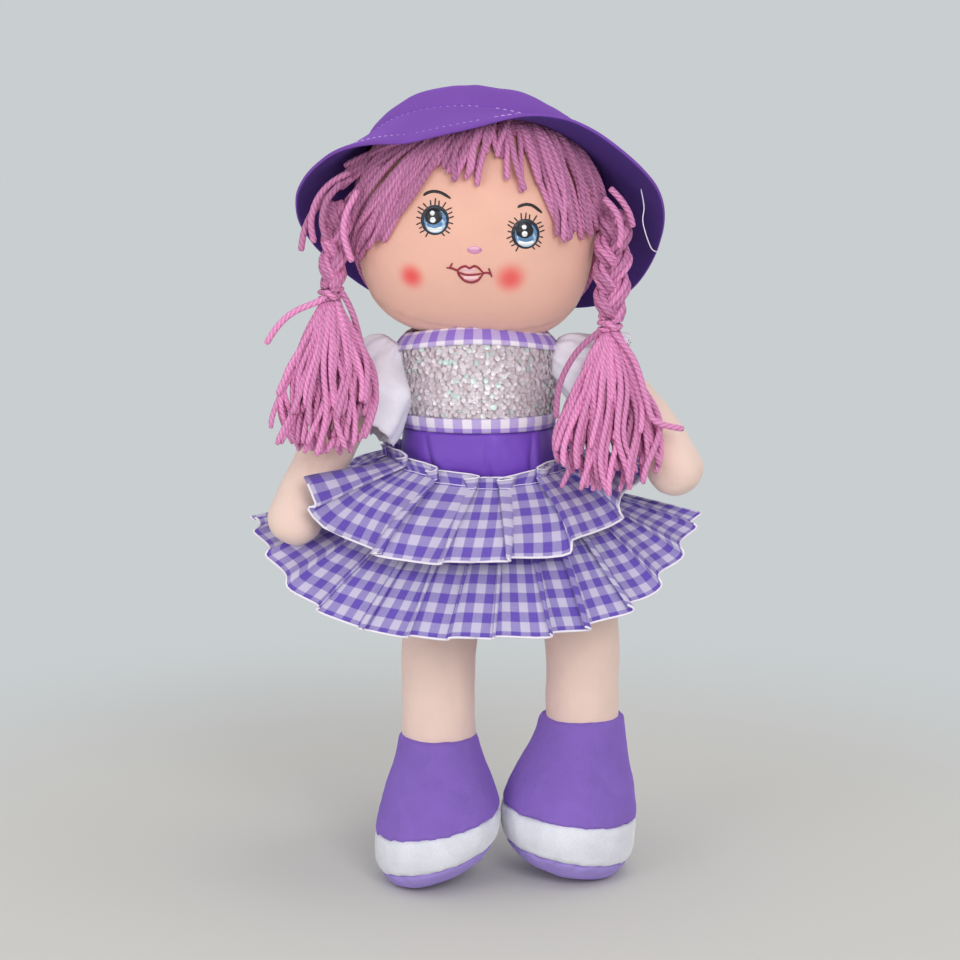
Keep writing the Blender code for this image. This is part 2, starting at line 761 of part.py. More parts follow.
def build_leg(side, material, pivot):
    """A stuffed leg that tapers to a thin sewn edge at the hip."""
    top = hip(side)
    rings = []
    for turn_deg in HIP_EDGE_TURNS_DEG:
        level = top + UP * (HIP_EDGE_RADIUS * sin(radians(turn_deg)))
        rings.append(oval(level, LEG_TOP_HALF_WIDTH, HIP_EDGE_RADIUS * cos(radians(turn_deg)), LIMB_SIDES))
    for drop in (0, HIP_EDGE_LENGTH):
        rings.append(oval(top - UP * drop, LEG_TOP_HALF_WIDTH, HIP_EDGE_RADIUS, LIMB_SIDES))
    length = HIP_Z - HIP_EDGE_LENGTH - leg_foot_z(side)
    for depth, wide, deep, out in LEG_SHARES:
        centre = Vector((
            top.x + (LEG_X[side] - top.x) * out,
            LEG_Y[side] * depth,
            HIP_Z - HIP_EDGE_LENGTH - length * depth,
        ))
        rings.append(oval(centre, LEG_RADIUS * wide, LEG_RADIUS * deep, LIMB_SIDES))
    return add_piece(f"leg_{side}", skin(rings), material, pivot)


# Boots


def boot_outline(side, level):
    """A level of the boot before it stands on the floor; low levels tip with the sole."""
    width = BOOT_HALF_WIDTH[side] * read_shares(BOOT_SHARES, level, 1)
    length = BOOT_HALF_LENGTH * read_shares(BOOT_SHARES, level, 2)
    back = read_shares(BOOT_SHARES, level, 3)
    foot = Vector((BOOT_X[side], LEG_Y[side] - BOOT_FORWARD, 0))
    leg = Vector((LEG_X[side], LEG_Y[side], 0))
    centre = foot.lerp(leg, back)
    tip = BOOT_TIP_SHARE[side] * (1 - max(0, level))
    ring = oval(centre, width, length, BODY_SIDES)
    for point in ring:
        inward = -SIGN[side] * (point.x - centre.x)
        point.z = BOOT_TOP_Z[side] * level + inward * tip
    return ring


def boot_ground(side):
    """The height, before it is set on the floor, at which the sole is cut flat."""
    levels = boot_levels(BOOT_SHARES[0][0], SOLE_TOP_SHARE)
    return min(point.z for level in levels for point in boot_outline(side, level)) + FLAT_CUT


def boot_ring(side, level):
    """A level of the boot as it stands: set down on its flat, with its collar at its own height."""
    sink = UP * (boot_ground(side) * (1 - max(0, level)))
    return [point - sink for point in boot_outline(side, level)]


def boot_levels(low, high):
    inside = [row[0] for row in BOOT_SHARES if low < row[0] < high]
    return [low, *inside, high]


def build_boot_piece(name, side, low, high, material, pivot):
    bm = skin([boot_ring(side, level) for level in boot_levels(low, high)])
    if low < 0:
        geometry = bm.verts[:] + bm.edges[:] + bm.faces[:]
        bmesh.ops.bisect_plane(bm, geom=geometry, plane_co=Vector(), plane_no=UP, clear_inner=True)
        bmesh.ops.holes_fill(bm, edges=[edge for edge in bm.edges if edge.is_boundary])
        bmesh.ops.recalc_face_normals(bm, faces=bm.faces)
    return add_piece(name, bm, material, pivot)


# Dress


def cloth_ring(heights, offset):
    """A ring of cloth round the torso, each point at its own height."""
    ring = []
    for step, height in enumerate(heights):
        ring.append(torso_oval(height, offset, len(heights), SHOULDER_LEVEL_SHARE)[step])
    return ring


def neckline_heights(sides, drop=0):
    return [NECKLINE_Z - drop - NECKLINE_DROP * sin(turn) ** 2 for turn in turns(sides)]


def wrap(rows, inner, outer):
    """A wall of cloth through rows of heights, from an inner to an outer offset."""
    inside = [cloth_ring(heights, inner) for heights in rows]
    outside = [cloth_ring(heights, outer) for heights in rows]
    return skin(inside + outside[::-1], looped=True)


def torso_heights(low, high):
    """The torso's own stations between two heights, and those heights, so that cloth follows its facets."""
    span = TORSO_TOP_Z - torso_bottom_z()
    stations = [torso_bottom_z() + span * row[0] for row in TORSO_SHARES if row[0] <= SHOULDER_LEVEL_SHARE]
    return [low, *[z for z in stations if low < z < high], high]


def build_bodice(material, pivot):
    shoulder_z = torso_bottom_z() + (TORSO_TOP_Z - torso_bottom_z()) * SHOULDER_LEVEL_SHARE
    rows = [[height] * BODY_SIDES for height in torso_heights(BODICE_FOOT_Z, shoulder_z)]
    rows.append(neckline_heights(BODY_SIDES))
    return add_piece("bodice", wrap(rows, GAP, GAP + BODICE_WALL), material, pivot)


def bodice_block():
    """Everything inside the bodice and its neckline ribbon, which the sleeves are cut back from."""
    offset = GAP + BODICE_WALL + GAP + RIBBON_WALL + GAP
    heights = torso_heights(YOKE_FOOT_Z, NECKLINE_Z)
    return skin([torso_oval(z, offset, BODY_SIDES, SHOULDER_LEVEL_SHARE) for z in heights])


def build_neck_ribbon(material, pivot):
    rows = [neckline_heights(BODY_SIDES, drop) for drop in (NECK_RIBBON_HEIGHT, 0)]
    inner = GAP + BODICE_WALL + GAP
    return add_piece("neckline_ribbon", wrap(rows, inner, inner + RIBBON_WALL), material, pivot)


def build_waist_ribbon(material, pivot):
    heights = torso_heights(BODICE_FOOT_Z, BODICE_FOOT_Z + WAIST_RIBBON_HEIGHT)
    rows = [[height] * BODY_SIDES for height in heights]
    inner = GAP + BODICE_WALL + GAP
    return add_piece("waist_ribbon", wrap(rows, inner, inner + RIBBON_WALL), material, pivot)


def build_yoke(material, pivot):
    rows = [[height] * BODY_SIDES for height in torso_heights(YOKE_FOOT_Z, BODICE_FOOT_Z - GAP)]
    return add_piece("skirt_yoke", wrap(rows, GAP, GAP + YOKE_WALL), material, pivot)


def sleeve_stations(side):
    """Share of the arm, way back over the shoulder, radius and share of the frill, to the edge."""
    stations = []
    for turn_deg in SLEEVE_CAP_TURNS_DEG:
        turn = radians(turn_deg)
        stations.append((0, SLEEVE_RADIUS * cos(turn), SLEEVE_RADIUS * sin(turn), 0))
    arm_length = (arm_path(side, 1) - arm_path(side, 0)).length
    for row in range(SLEEVE_ROWS + 1):
        part = row / SLEEVE_ROWS
        radius = SLEEVE_RADIUS + SLEEVE_FLARE * part
        stations.append((part * SLEEVE_LENGTH / arm_length, 0, radius, part**2))
    return stations


def build_sleeve(side, material, pivot):
    """A short cap sleeve that opens in a frilled edge round the upper arm."""
    inner, outer = [], []
    for share, behind, radius, frill in sleeve_stations(side):
        run = arm_run(side, share)
        across = run.cross(BACK).normalized()
        along = across.cross(run)
        centre = arm_path(side, share) - run * behind
        low, high = [], []
        for turn in turns(SLEEVE_FRILLS * SAMPLES_PER_FRILL):
            reach = radius + SLEEVE_FRILL * frill * cos(SLEEVE_FRILLS * turn)
            outward = across * sin(turn) - along * cos(turn)
            low.append(centre + outward * reach)
            high.append(centre + outward * (reach + SLEEVE_WALL))
        inner.append(low)
        outer.append(high)
    return add_piece(f"sleeve_{side}", skin(inner + outer[::-1], looped=True), material, pivot)


def build_ruffle(name, head, hem, pleats, swell, material, pivot):
    """A pleated ring of cloth, sewn to the yoke and opening to its hem.

    The head is given as its height in front and its rise to the sides, the hem as the same two, half its
    width and half its depth.
    """
    sides = pleats * SAMPLES_PER_PLEAT
    head_z, head_rise = head
    hem_z, hem_rise, half_width, half_depth = hem
    sewn = cloth_ring([head_z + head_rise * sin(turn) ** 2 for turn in turns(sides)], GAP + YOKE_WALL + GAP)
    edges = oval(UP * hem_z, half_width, half_depth, sides)
    for edge, turn in zip(edges, turns(sides)):
        edge.z += hem_rise * sin(turn) ** 4
    inner, outer = [], []
    for row in range(RUFFLE_ROWS + 1):
        part = row / RUFFLE_ROWS
        depth = PLEAT_DEPTH * (PLEAT_ROOT_SHARE + (1 - PLEAT_ROOT_SHARE) * part)
        low, high = [], []
        for step, edge in enumerate(edges):
            run = (edge - sewn[step]).normalized()
            around = (edges[(step + 1) % sides] - edges[step - 1]) * Vector((1, 1, 0))
            outward = around.cross(run).normalized()
            if outward.dot(edge * Vector((1, 1, 0))) < 0:
                outward = -outward
            phase = 2 * pi * step / SAMPLES_PER_PLEAT
            pleat = depth * (1 + cos(phase)) * min(1, row)
            lean = around.normalized() * (depth * PLEAT_LEAN_SHARE * sin(phase))
            belly = swell * sin(pi * part)
            base = sewn[step].lerp(edge, part) + outward * (pleat + belly) + lean
            low.append(base)
            high.append(base + outward * RUFFLE_WALL)
        inner.append(low)
        outer.append(high)
    return add_piece(name, skin(inner + outer[::-1], looped=True), material, pivot)


def build_doll():
    finish = {name: make_material(name) for name in FINISHES}
    body = make_pivot("body_frame", Vector(), None)
    neck_pivot = make_pivot("neck_pivot", neck_middle(), body)
    head_pivot = make_pivot("head_pivot", neck_middle(), neck_pivot)

    torso = build_torso(finish["skin_limb"], body)
    neck = add_piece("neck", ball(neck_middle(), NECK_RADIUS), finish["skin_limb"], neck_pivot)
    head = build_head(finish["skin_head"], head_pivot)
    neck_room = as_cutter(
        add_piece("neck_room", ball(neck_middle(), NECK_RADIUS + GAP), finish["skin_limb"], body)
    )
    cut(torso, neck_room)
    cut(head, neck_room)

    head_room = grown_copy("head_room", head, GAP, head_pivot)
    hair_cap = cut(build_hair_cap(finish["yarn"], head_pivot), head_room)
    fringe = cut(build_fringe(finish["yarn"], head_pivot), head_room)
    crown = build_hat_crown(finish["hat_felt"], head_pivot)
    brim = build_hat_brim(finish["hat_brim_felt"], head_pivot)
    cut(fringe, grown_copy("crown_room", crown, GAP, head_pivot))
    cut(fringe, grown_copy("brim_room", brim, GAP, head_pivot))
    hair_rooms = [
        grown_copy("cap_room", hair_cap, GAP, head_pivot),
        grown_copy("fringe_room", fringe, GAP, head_pivot),
    ]

    bodice = build_bodice(finish["sequin_cloth"], body)
    neck_ribbon = build_neck_ribbon(finish["ribbon"], body)
    build_waist_ribbon(finish["ribbon"], body)
    build_yoke(finish["yoke_cloth"], body)
    head_line = (UPPER_HEAD_Z, UPPER_HEAD_RISE)
    hem_line = (UPPER_HEM_Z, UPPER_HEM_RISE, UPPER_HALF_WIDTH, UPPER_HALF_DEPTH)
    upper = build_ruffle(
        "upper_ruffle", head_line, hem_line, UPPER_PLEATS, UPPER_BELLY, finish["gingham"], body
    )
    head_line = (LOWER_HEAD_Z, LOWER_HEAD_RISE)
    hem_line = (LOWER_HEM_Z, LOWER_HEM_RISE, LOWER_HALF_WIDTH, LOWER_HALF_DEPTH)
    lower = build_ruffle(
        "lower_ruffle", head_line, hem_line, LOWER_PLEATS, LOWER_BELLY, finish["gingham"], body
    )
    bodice_room = as_cutter(add_piece("bodice_room", bodice_block(), finish["sequin_cloth"], body))

    for side in SIDES:
        plait_pivot = make_pivot(f"plait_{side}_pivot", plait_top(side), head_pivot)
        plait = build_plait(side, finish["yarn"], plait_pivot)
        for room in hair_rooms + [swing_room(side, angle, fringe, plait_pivot) for angle in PLAIT_SWINGS_DEG]:
            cut(plait, room)
        build_tie(side, finish["tie_yarn"], plait_pivot)
        build_tassel(side, finish["yarn"], plait_pivot)

        arm_pivot = make_pivot(f"arm_{side}_pivot", shoulder(side), body)
        arm = build_arm(side, finish["skin_limb"], arm_pivot)
        room = ball(shoulder(side), ARM_RADIUS + GAP)
        shoulder_room = as_cutter(add_piece(f"shoulder_room_{side}", room, finish["skin_limb"], body))
        sleeve = build_sleeve(side, finish["white_cotton"], body)
        for piece in (torso, bodice, neck_ribbon):
            cut(piece, shoulder_room)
        cut(sleeve, bodice_room)
        arm_room = grown_copy(f"arm_room_{side}", arm, GAP, body)
        cut(upper, arm_room)
        cut(lower, arm_room)

        leg_pivot = make_pivot(f"leg_{side}_pivot", hip(side), body)
        leg = build_leg(side, finish["skin_limb"], leg_pivot)
        leg_room = grown_copy(f"leg_room_{side}", leg, GAP, leg_pivot)
        seam = GAP / BOOT_TOP_Z[side]
        tiers = (
            ("boot_sole", BOOT_SHARES[0][0], SOLE_TOP_SHARE - seam, "plush_purple"),
            ("boot_band", SOLE_TOP_SHARE, BAND_TOP_SHARE - seam, "plush_white"),
            ("boot_upper", BAND_TOP_SHARE, 1, "plush_purple"),
        )
        for name, low, high, material in tiers:
            piece = build_boot_piece(f"{name}_{side}", side, low, high, finish[material], leg_pivot)
            if name == "boot_upper":
                cut(piece, leg_room)


def main():
    for item in list(bpy.data.objects):
        bpy.data.objects.remove(item, do_unlink=True)
    build_doll()


main()
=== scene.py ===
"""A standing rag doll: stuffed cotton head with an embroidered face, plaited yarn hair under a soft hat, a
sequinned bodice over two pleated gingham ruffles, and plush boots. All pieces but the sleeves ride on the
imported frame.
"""

import random
from math import cos, degrees, exp, pi, radians, sin, sqrt

import bpy
from bpy.props import FloatProperty, FloatVectorProperty, IntProperty, PointerProperty
from mathutils import Matrix, Vector, noise
from mathutils.bvhtree import BVHTree
import numpy as np


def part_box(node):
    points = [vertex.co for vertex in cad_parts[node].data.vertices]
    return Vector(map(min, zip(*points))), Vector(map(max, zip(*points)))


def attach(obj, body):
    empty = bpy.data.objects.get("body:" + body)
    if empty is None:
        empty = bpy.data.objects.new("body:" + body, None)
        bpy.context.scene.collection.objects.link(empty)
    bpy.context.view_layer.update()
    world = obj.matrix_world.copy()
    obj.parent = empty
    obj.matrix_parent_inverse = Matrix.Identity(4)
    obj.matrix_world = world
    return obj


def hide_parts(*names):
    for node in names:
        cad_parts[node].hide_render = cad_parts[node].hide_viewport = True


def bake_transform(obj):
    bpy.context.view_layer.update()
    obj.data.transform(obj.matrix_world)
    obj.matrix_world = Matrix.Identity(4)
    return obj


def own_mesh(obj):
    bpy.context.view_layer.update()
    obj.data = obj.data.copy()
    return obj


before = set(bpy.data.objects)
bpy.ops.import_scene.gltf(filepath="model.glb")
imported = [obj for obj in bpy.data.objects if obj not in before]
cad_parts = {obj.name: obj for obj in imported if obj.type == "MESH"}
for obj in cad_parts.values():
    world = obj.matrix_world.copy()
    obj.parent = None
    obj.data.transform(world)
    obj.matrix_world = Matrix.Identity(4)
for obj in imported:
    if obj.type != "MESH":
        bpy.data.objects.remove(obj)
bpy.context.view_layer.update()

bl_info = {
    "name": "Rag doll",
    "version": (1, 0, 0),
    "blender": (4, 5, 0),
    "location": "View3D > Sidebar > Rag doll",
    "description": "Builds a rag doll with yarn hair, a soft hat, a ruffled dress and plush boots",
    "category": "Object",
}

ACROSS = Vector((1, 0, 0))
BACK = Vector((0, 1, 0))
UP = Vector((0, 0, 1))
SIDES = ("right", "left")
SIGN = {"right": -1, "left": 1}

# Camera, which the picture points below are read through. The picture is 960 by 960 points, and each is
# half a millimetre at the doll
PICTURE = 960
PICTURE_POINT = 0.0005
SENSOR = 36
CAMERA_LENS = 97
CAMERA_TARGET = Vector((0.0025, 0, 0.202))
CAMERA_DISTANCE = 1.3
CAMERA_ELEVATION = radians(10)

# Head: a soft box with full jowls, leaning towards the doll's left
HEAD_CENTRE = Vector((0.0018, -0.002, 0.334))
HEAD_LEAN = radians(5)
HEAD_HALF = Vector((0.0583, 0.047, 0.0602))
HEAD_TOP = 0.0568
JOWL_POWER = 2.9

# Hat, in the frame of a head that leans a little more
HAT_CENTRE = Vector((0.0014, -0.002, 0.334))
HAT_LEAN = radians(9)
HAT_TILT = radians(40)
HAT_MIDDLE = Vector((-0.0004, 0.015, 0.019))
CROWN_HALF_WIDTH = 0.0605
CROWN_HALF_DEPTH = 0.0545
CROWN_HEIGHT = 0.0322
# how far the brim reaches out and falls, in even steps from the middle front round to the back
BRIM_REACH = (0.014, 0.020, 0.028, 0.031, 0.032, 0.031, 0.029)
BRIM_FALL = (0.018, 0.024, 0.026, 0.026, 0.025, 0.022, 0.020)
# how far the crown laps over the seam
SEAM_LAP = 0.0010
BRIM_WAVE = 0.0035
BRIM_WAVES = 5
# the front of the brim sags on the doll's right, and stands up and out on its left
BRIM_LEAN = 0.0105
BRIM_SPREAD = 0.006
# on the doll's right the brim is narrower, and hangs lower behind
BRIM_TUCK = 0.0020
BRIM_SAG = 0.014

# Plaits
PLAIT_TOP = {"right": Vector((-0.0655, -0.016, 0.3420)), "left": Vector((0.0680, -0.016, 0.3380))}
PLAIT_END = {"right": Vector((-0.0700, -0.026, 0.3007)), "left": Vector((0.0660, -0.026, 0.2857))}
TASSEL_END = {"right": Vector((-0.0720, -0.054, 0.2210)), "left": Vector((0.0640, -0.054, 0.2040))}
TASSEL_HALF = Vector((0.0255, 0.0115, 0))

# Torso, which the dress is cut round: height, half width, half depth and lean towards the pelvis
TORSO_FOOT_Z = 0.1698
TORSO_TOP_Z = 0.2735
TORSO_HALF_WIDTH = 0.038
TORSO_HALF_DEPTH = 0.027
CHEST_X = 0.001
PELVIS_X = 0.016
TORSO_SHARES = (
    (0.00, 1.16, 0.03, 1.00),
    (0.03, 1.20, 0.13, 0.99),
    (0.10, 1.20, 0.36, 0.92),
    (0.20, 1.12, 0.66, 0.72),
    (0.30, 1.02, 0.88, 0.45),
    (0.45, 0.96, 0.97, 0.15),
    (0.60, 0.92, 0.96, 0.03),
    (0.74, 1.00, 1.00, 0.00),
    (0.86, 0.99, 0.96, 0.00),
)

# Arms: shoulder and bend
ARM_PATH = {
    "right": (Vector((-0.047, -0.002, 0.262)), Vector((-0.0665, -0.010, 0.238))),
    "left": (Vector((0.049, -0.002, 0.262)), Vector((0.079, -0.008, 0.250))),
}


def linear_colour(hex_value):
    """The linear colour of an sRGB hex value."""
    parts = [int(hex_value[step : step + 2], 16) / 255 for step in (1, 3, 5)]
    return tuple(part / 12.92 if part <= 0.04045 else ((part + 0.055) / 1.055) ** 2.4 for part in parts)


# Sizes and colours that a user may change


class DollSizes(bpy.types.PropertyGroup):
    """Sizes of the cloth, yarn and trim."""

    yarn_radius: FloatProperty(name="Yarn radius", description="Radius of a strand of hair yarn",
                               default=0.00165, min=0.0008, max=0.003, unit="LENGTH", precision=5)
    yarn_ply: FloatProperty(name="Yarn ply", description="Length along the yarn between two plies",
                            default=0.0030, min=0.001, max=0.01, unit="LENGTH", precision=5)
    fringe_strands: IntProperty(name="Fringe strands", description="Strands of yarn over the forehead",
                                default=120, min=20, max=200)
    tassel_strands: IntProperty(name="Tassel strands", description="Strands of yarn in each tassel",
                                default=84, min=20, max=120)
    check: FloatProperty(name="Check", description="Width of one stripe of the ruffles' gingham",
                         default=0.00485, min=0.002, max=0.01, unit="LENGTH", precision=5)
    ribbon_check: FloatProperty(name="Ribbon check", description="Width of one stripe of the ribbons",
                                default=0.0046, min=0.002, max=0.01, unit="LENGTH", precision=5)
    sequin: FloatProperty(name="Sequin", description="Diameter of a sequin",
                          default=0.0029, min=0.001, max=0.005, unit="LENGTH", precision=5)
    cloth_wall: FloatProperty(name="Cloth thickness", description="Thickness of the ruffles' cotton",
                              default=0.0007, min=0.0003, max=0.002, unit="LENGTH", precision=5)
    stitch: FloatProperty(name="Stitch", description="Length of one topstitch on the hat",
                          default=0.0026, min=0.001, max=0.006, unit="LENGTH", precision=5)


class DollColours(bpy.types.PropertyGroup):
    """Colours of the cloth, yarn and thread."""

    head_cotton: FloatVectorProperty(name="Head", description="Stuffed head", subtype="COLOR",
                                     default=linear_colour("#E9B5A1"), min=0, max=1)
    limb_cotton: FloatVectorProperty(name="Limbs", description="Arms, legs and body", subtype="COLOR",
                                     default=linear_colour("#EACDBF"), min=0, max=1)
    blush: FloatVectorProperty(name="Blush", description="Sprayed cheeks", subtype="COLOR",
                               default=linear_colour("#E85250"), min=0, max=1)
    yarn: FloatVectorProperty(name="Yarn", description="Hair", subtype="COLOR",
                              default=linear_colour("#D58BB7"), min=0, max=1)
    hat: FloatVectorProperty(name="Hat", description="Outside of the hat", subtype="COLOR",
                             default=linear_colour("#7343A2"), min=0, max=1)
    # the inside of the hat: the hat's twill in a darker purple, painted shade under the brim and inside the
    # crown
    hat_lining_shade: FloatVectorProperty(name="Hat lining", description="Inside of the hat", subtype="COLOR",
                                    default=linear_colour("#3E2170"), min=0, max=1)
    gingham: FloatVectorProperty(name="Gingham", description="Dyed thread of the gingham", subtype="COLOR",
                                 default=linear_colour("#644AB2"), min=0, max=1)
    gingham_white: FloatVectorProperty(name="Gingham white", description="Pale thread of the gingham",
                                       subtype="COLOR", default=linear_colour("#CBC4DC"), min=0, max=1)
    yoke: FloatVectorProperty(name="Yoke", description="Plain top of the skirt", subtype="COLOR",
                              default=linear_colour("#7040B8"), min=0, max=1)
    plush: FloatVectorProperty(name="Plush", description="Boots", subtype="COLOR",
                               default=linear_colour("#7D5EB2"), min=0, max=1)
    # the soles: a lighter copy of the boots' purple plush, painted bounce light from the floor
    sole_plush_lit: FloatVectorProperty(name="Sole plush", description="Soles of the boots", subtype="COLOR",
                                    default=linear_colour("#9582C4"), min=0, max=1)
    plush_white: FloatVectorProperty(name="White plush", description="Band of the boots", subtype="COLOR",
                                     default=linear_colour("#D5D6DD"), min=0, max=1)


def sizes():
    return bpy.context.scene.doll_sizes


def colours():
    return bpy.context.scene.doll_colours


# Shapes


def read_list(values, share):
    """A value from an evenly spaced list, read with straight steps between."""
    place = min(max(share, 0), 1) * (len(values) - 1)
    low = min(int(place), len(values) - 2)
    return values[low] + (values[low + 1] - values[low]) * (place - low)


def mix(first, second, share):
    return first + (second - first) * share


def smooth_step(value):
    value = min(1, max(0, value))
    return value * value * (3 - 2 * value)


def curve_through(points, count):
    """Evenly numbered points of a smooth curve through the given ones."""
    last = len(points) - 1
    found = []
    for step in range(count):
        place = last * step / (count - 1)
        low = min(int(place), last - 1)
        part = place - low
        before, start, end, after = (points[min(last, max(0, low + shift))] for shift in (-1, 0, 1, 2))
        found.append(0.5 * (
            2 * start
            + (end - before) * part
            + (2 * before - 5 * start + 4 * end - after) * part**2
            + (3 * start - before - 3 * end + after) * part**3
        ))
    return found


def wobble(point, scale, seed=0):
    """Smooth noise between about -1 and 1 at a point, where scale is the size of its lumps."""
    return noise.noise(Vector(point) / scale + Vector((seed * 7.3, seed * 3.1, seed * 5.7)))


def make_piece(name, verts, faces, uvs=None, tones=None, smooth=True):
    """A mesh object. UVs are given per face corner, in metres of cloth; tones are one number per point."""
    mesh = bpy.data.meshes.new(name)
    mesh.from_pydata([tuple(vert) for vert in verts], [], faces)
    if uvs is not None:
        layer = mesh.uv_layers.new(name="cloth")
        layer.data.foreach_set("uv", np.array(uvs, np.float32).ravel())
    if tones is not None:
        layer = mesh.attributes.new("tone", "FLOAT", "POINT")
        layer.data.foreach_set("value", np.array(tones, np.float32))
    mesh.update()
    if smooth:
        mesh.shade_smooth()
    piece = bpy.data.objects.new(name, mesh)
    bpy.context.scene.collection.objects.link(piece)
    return piece


def grid_piece(name, rows, coords, closed=False):
    """A sheet through rows of points. Coords hold the cloth's own place of each point, in metres."""
    count = len(rows[0])
    verts = [point for row in rows for point in row]
    faces, uvs = [], []
    for row in range(len(rows) - 1):
        for step in range(count if closed else count - 1):
            after = (step + 1) % count
            corners = ((row, step), (row, after), (row + 1, after), (row + 1, step))
            faces.append([level * count + place for level, place in corners])
            for level, place in corners:
                uvs.append(coords[level][place if place or step < count - 1 else count])
    return make_piece(name, verts, faces, uvs)


def thicken(piece, wall):
    """Gives a sheet of cloth its thickness."""
    change = piece.modifiers.new("cloth", "SOLIDIFY")
    change.thickness = wall
    change.offset = 0


def round_off(piece):
    """Rounds the piece's facets off."""
    change = piece.modifiers.new("soft", "SUBSURF")
    change.levels = change.render_levels = 1


def tube_rings(path, radii, sides):
    """Rings of points round a path, and the length run at each."""
    rings, runs, run, normal = [], [], 0, None
    last = len(path) - 1
    for step, point in enumerate(path):
        ahead = (path[min(step + 1, last)] - path[max(step - 1, 0)]).normalized()
        normal = normal or ahead.orthogonal()
        normal = (normal - ahead * normal.dot(ahead)).normalized()
        other = ahead.cross(normal)
        run += (point - path[step - 1]).length if step else 0
        runs.append(run)
        ring = []
        for side in range(sides):
            turn = 2 * pi * side / sides
            ring.append(point + (normal * cos(turn) + other * sin(turn)) * radii[step])
        rings.append(ring)
    return rings, runs


# how much thinner a cut end of yarn or thread is
CUT_END_SHARE = 0.7


def strand_piece(name, strands, sides=7):
    """Many strands of yarn or thread as one piece. Each strand is its path, its radius and its tone."""
    verts, faces, uvs, tones = [], [], [], []
    for path, radius, tone in strands:
        count = len(path)
        radii = [radius * (CUT_END_SHARE if step in (0, count - 1) else 1) for step in range(count)]
        rings, runs = tube_rings(path, radii, sides)
        first = len(verts)
        for ring in rings:
            verts.extend(ring)
        tones.extend([tone] * (count * sides))
        for step in range(count - 1):
            for side in range(sides):
                after = (side + 1) % sides
                low, high = first + step * sides, first + (step + 1) * sides
                faces.append((low + side, low + after, high + after, high + side))
                near, far = side / sides, (side + 1) / sides
                start, end = runs[step], runs[step + 1]
                uvs.extend(((near, start), (far, start), (far, end), (near, end)))
        for start, order in ((first, -1), (first + (count - 1) * sides, 1)):
            faces.append([start + side for side in range(sides)][::order])
            uvs.extend([(0.5, runs[-1])] * sides)
    return make_piece(name, verts, faces, uvs, tones)


def surface_of(piece):
    """The finished surface of a piece, to place other pieces on."""
    shown = piece.evaluated_get(bpy.context.evaluated_depsgraph_get())
    mesh = shown.to_mesh()
    faces = [face.vertices[:] for face in mesh.polygons]
    tree = BVHTree.FromPolygons([vert.co.copy() for vert in mesh.vertices], faces)
    shown.to_mesh_clear()
    return tree


def picture_ray(across, down):
    """The camera's place, and the direction of its sight through a picture point."""
    ahead = Vector((0, cos(CAMERA_ELEVATION), -sin(CAMERA_ELEVATION)))
    above = Vector((0, sin(CAMERA_ELEVATION), cos(CAMERA_ELEVATION)))
    half = SENSOR / 2 / CAMERA_LENS
    wide = (across - PICTURE / 2) / (PICTURE / 2) * half
    high = (PICTURE / 2 - down) / (PICTURE / 2) * half
    return CAMERA_TARGET - ahead * CAMERA_DISTANCE, (ahead + ACROSS * wide + above * high).normalized()


def on_plane(across, down, depth):
    """Where the sight through a picture point meets the upright plane at a depth."""
    place, sight = picture_ray(across, down)
    return place + sight * ((depth - place.y) / sight.y)


# smoothing of the stuffed pieces, and how far the wall of a piece reaches into what it wraps
SMOOTH_ROUNDS = 5
SMOOTH_FACTOR = 0.6
LINING_GAP = 0.0006
LINING_DEPTH = 0.0022


def node_shape(node, inside):
    """A CAD node's points and faces. Where it wraps round the inside node, its wall reaches into it."""
    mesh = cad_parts[node].data
    verts = [vert.co.copy() for vert in mesh.vertices]
    if inside:
        wrapped = surface_of(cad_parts[inside])
        for point in verts:
            _, normal, _, distance = wrapped.find_nearest(point)
            if distance < LINING_GAP:
                point -= normal * LINING_DEPTH
    return verts, [face.vertices[:] for face in mesh.polygons]


def stuffed_copy(node, cloth, voxel, swell, inside=None):
    """A soft body in the place of a CAD node: remeshed evenly, smoothed, and swollen a little."""
    piece = make_piece(f"{node}_{cloth}", *node_shape(node, inside))
    remesh = piece.modifiers.new("even", "REMESH")
    remesh.mode = "VOXEL"
    remesh.voxel_size = voxel
    relax = piece.modifiers.new("soft", "SMOOTH")
    relax.factor = SMOOTH_FACTOR
    relax.iterations = SMOOTH_ROUNDS
    bpy.context.view_layer.update()
    shown = piece.evaluated_get(bpy.context.evaluated_depsgraph_get())
    mesh = bpy.data.meshes.new_from_object(shown)
    piece.modifiers.clear()
    piece.data = mesh
    for vert in mesh.vertices:
        vert.co += vert.normal * swell
    mesh.update()
    mesh.shade_smooth()
    return piece


def push_points(piece, move):
    """Moves each point of a piece by what move gives for it and its normal."""
    moves = [move(vert.co, vert.normal) for vert in piece.data.vertices]
    for vert, shift in zip(piece.data.vertices, moves):
        vert.co += shift
    piece.data.update()


def place_on(piece, body, slot, *nodes):
    """The piece rides on a body and stands for its nodes. The slot is not used."""
    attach(piece, body)
    if nodes:
        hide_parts(*nodes)
    return piece


# Materials


def add_node(tree, kind, settings=None, inputs=None):
    """Adds a node with its settings, and with values or links on its inputs."""
    node = tree.nodes.new(kind)
    for key, value in (settings or {}).items():
        setattr(node, key, value)
    for key, value in (inputs or {}).items():
        if isinstance(value, bpy.types.NodeSocket):
            tree.links.new(value, node.inputs[key])
        else:
            node.inputs[key].default_value = value
    return node


def start_material(name, **values):
    """A material, its node tree and its shader, with the values that are the same all over."""
    material = bpy.data.materials.new(name)
    material.use_nodes = True
    tree = material.node_tree
    shader = tree.nodes["Principled BSDF"]
    for key, value in values.items():
        shader.inputs[key.replace("_", " ")].default_value = value
    return material, tree, shader


def four(colour):
    return (*colour, 1)


def shade(colour, share):
    """The colour, darker below 1 and lighter above it."""
    return tuple(min(1, part * share) for part in colour)


# distances between threads as they are drawn
GINGHAM_THREAD = 0.0006
SATIN_THREAD = 0.0004
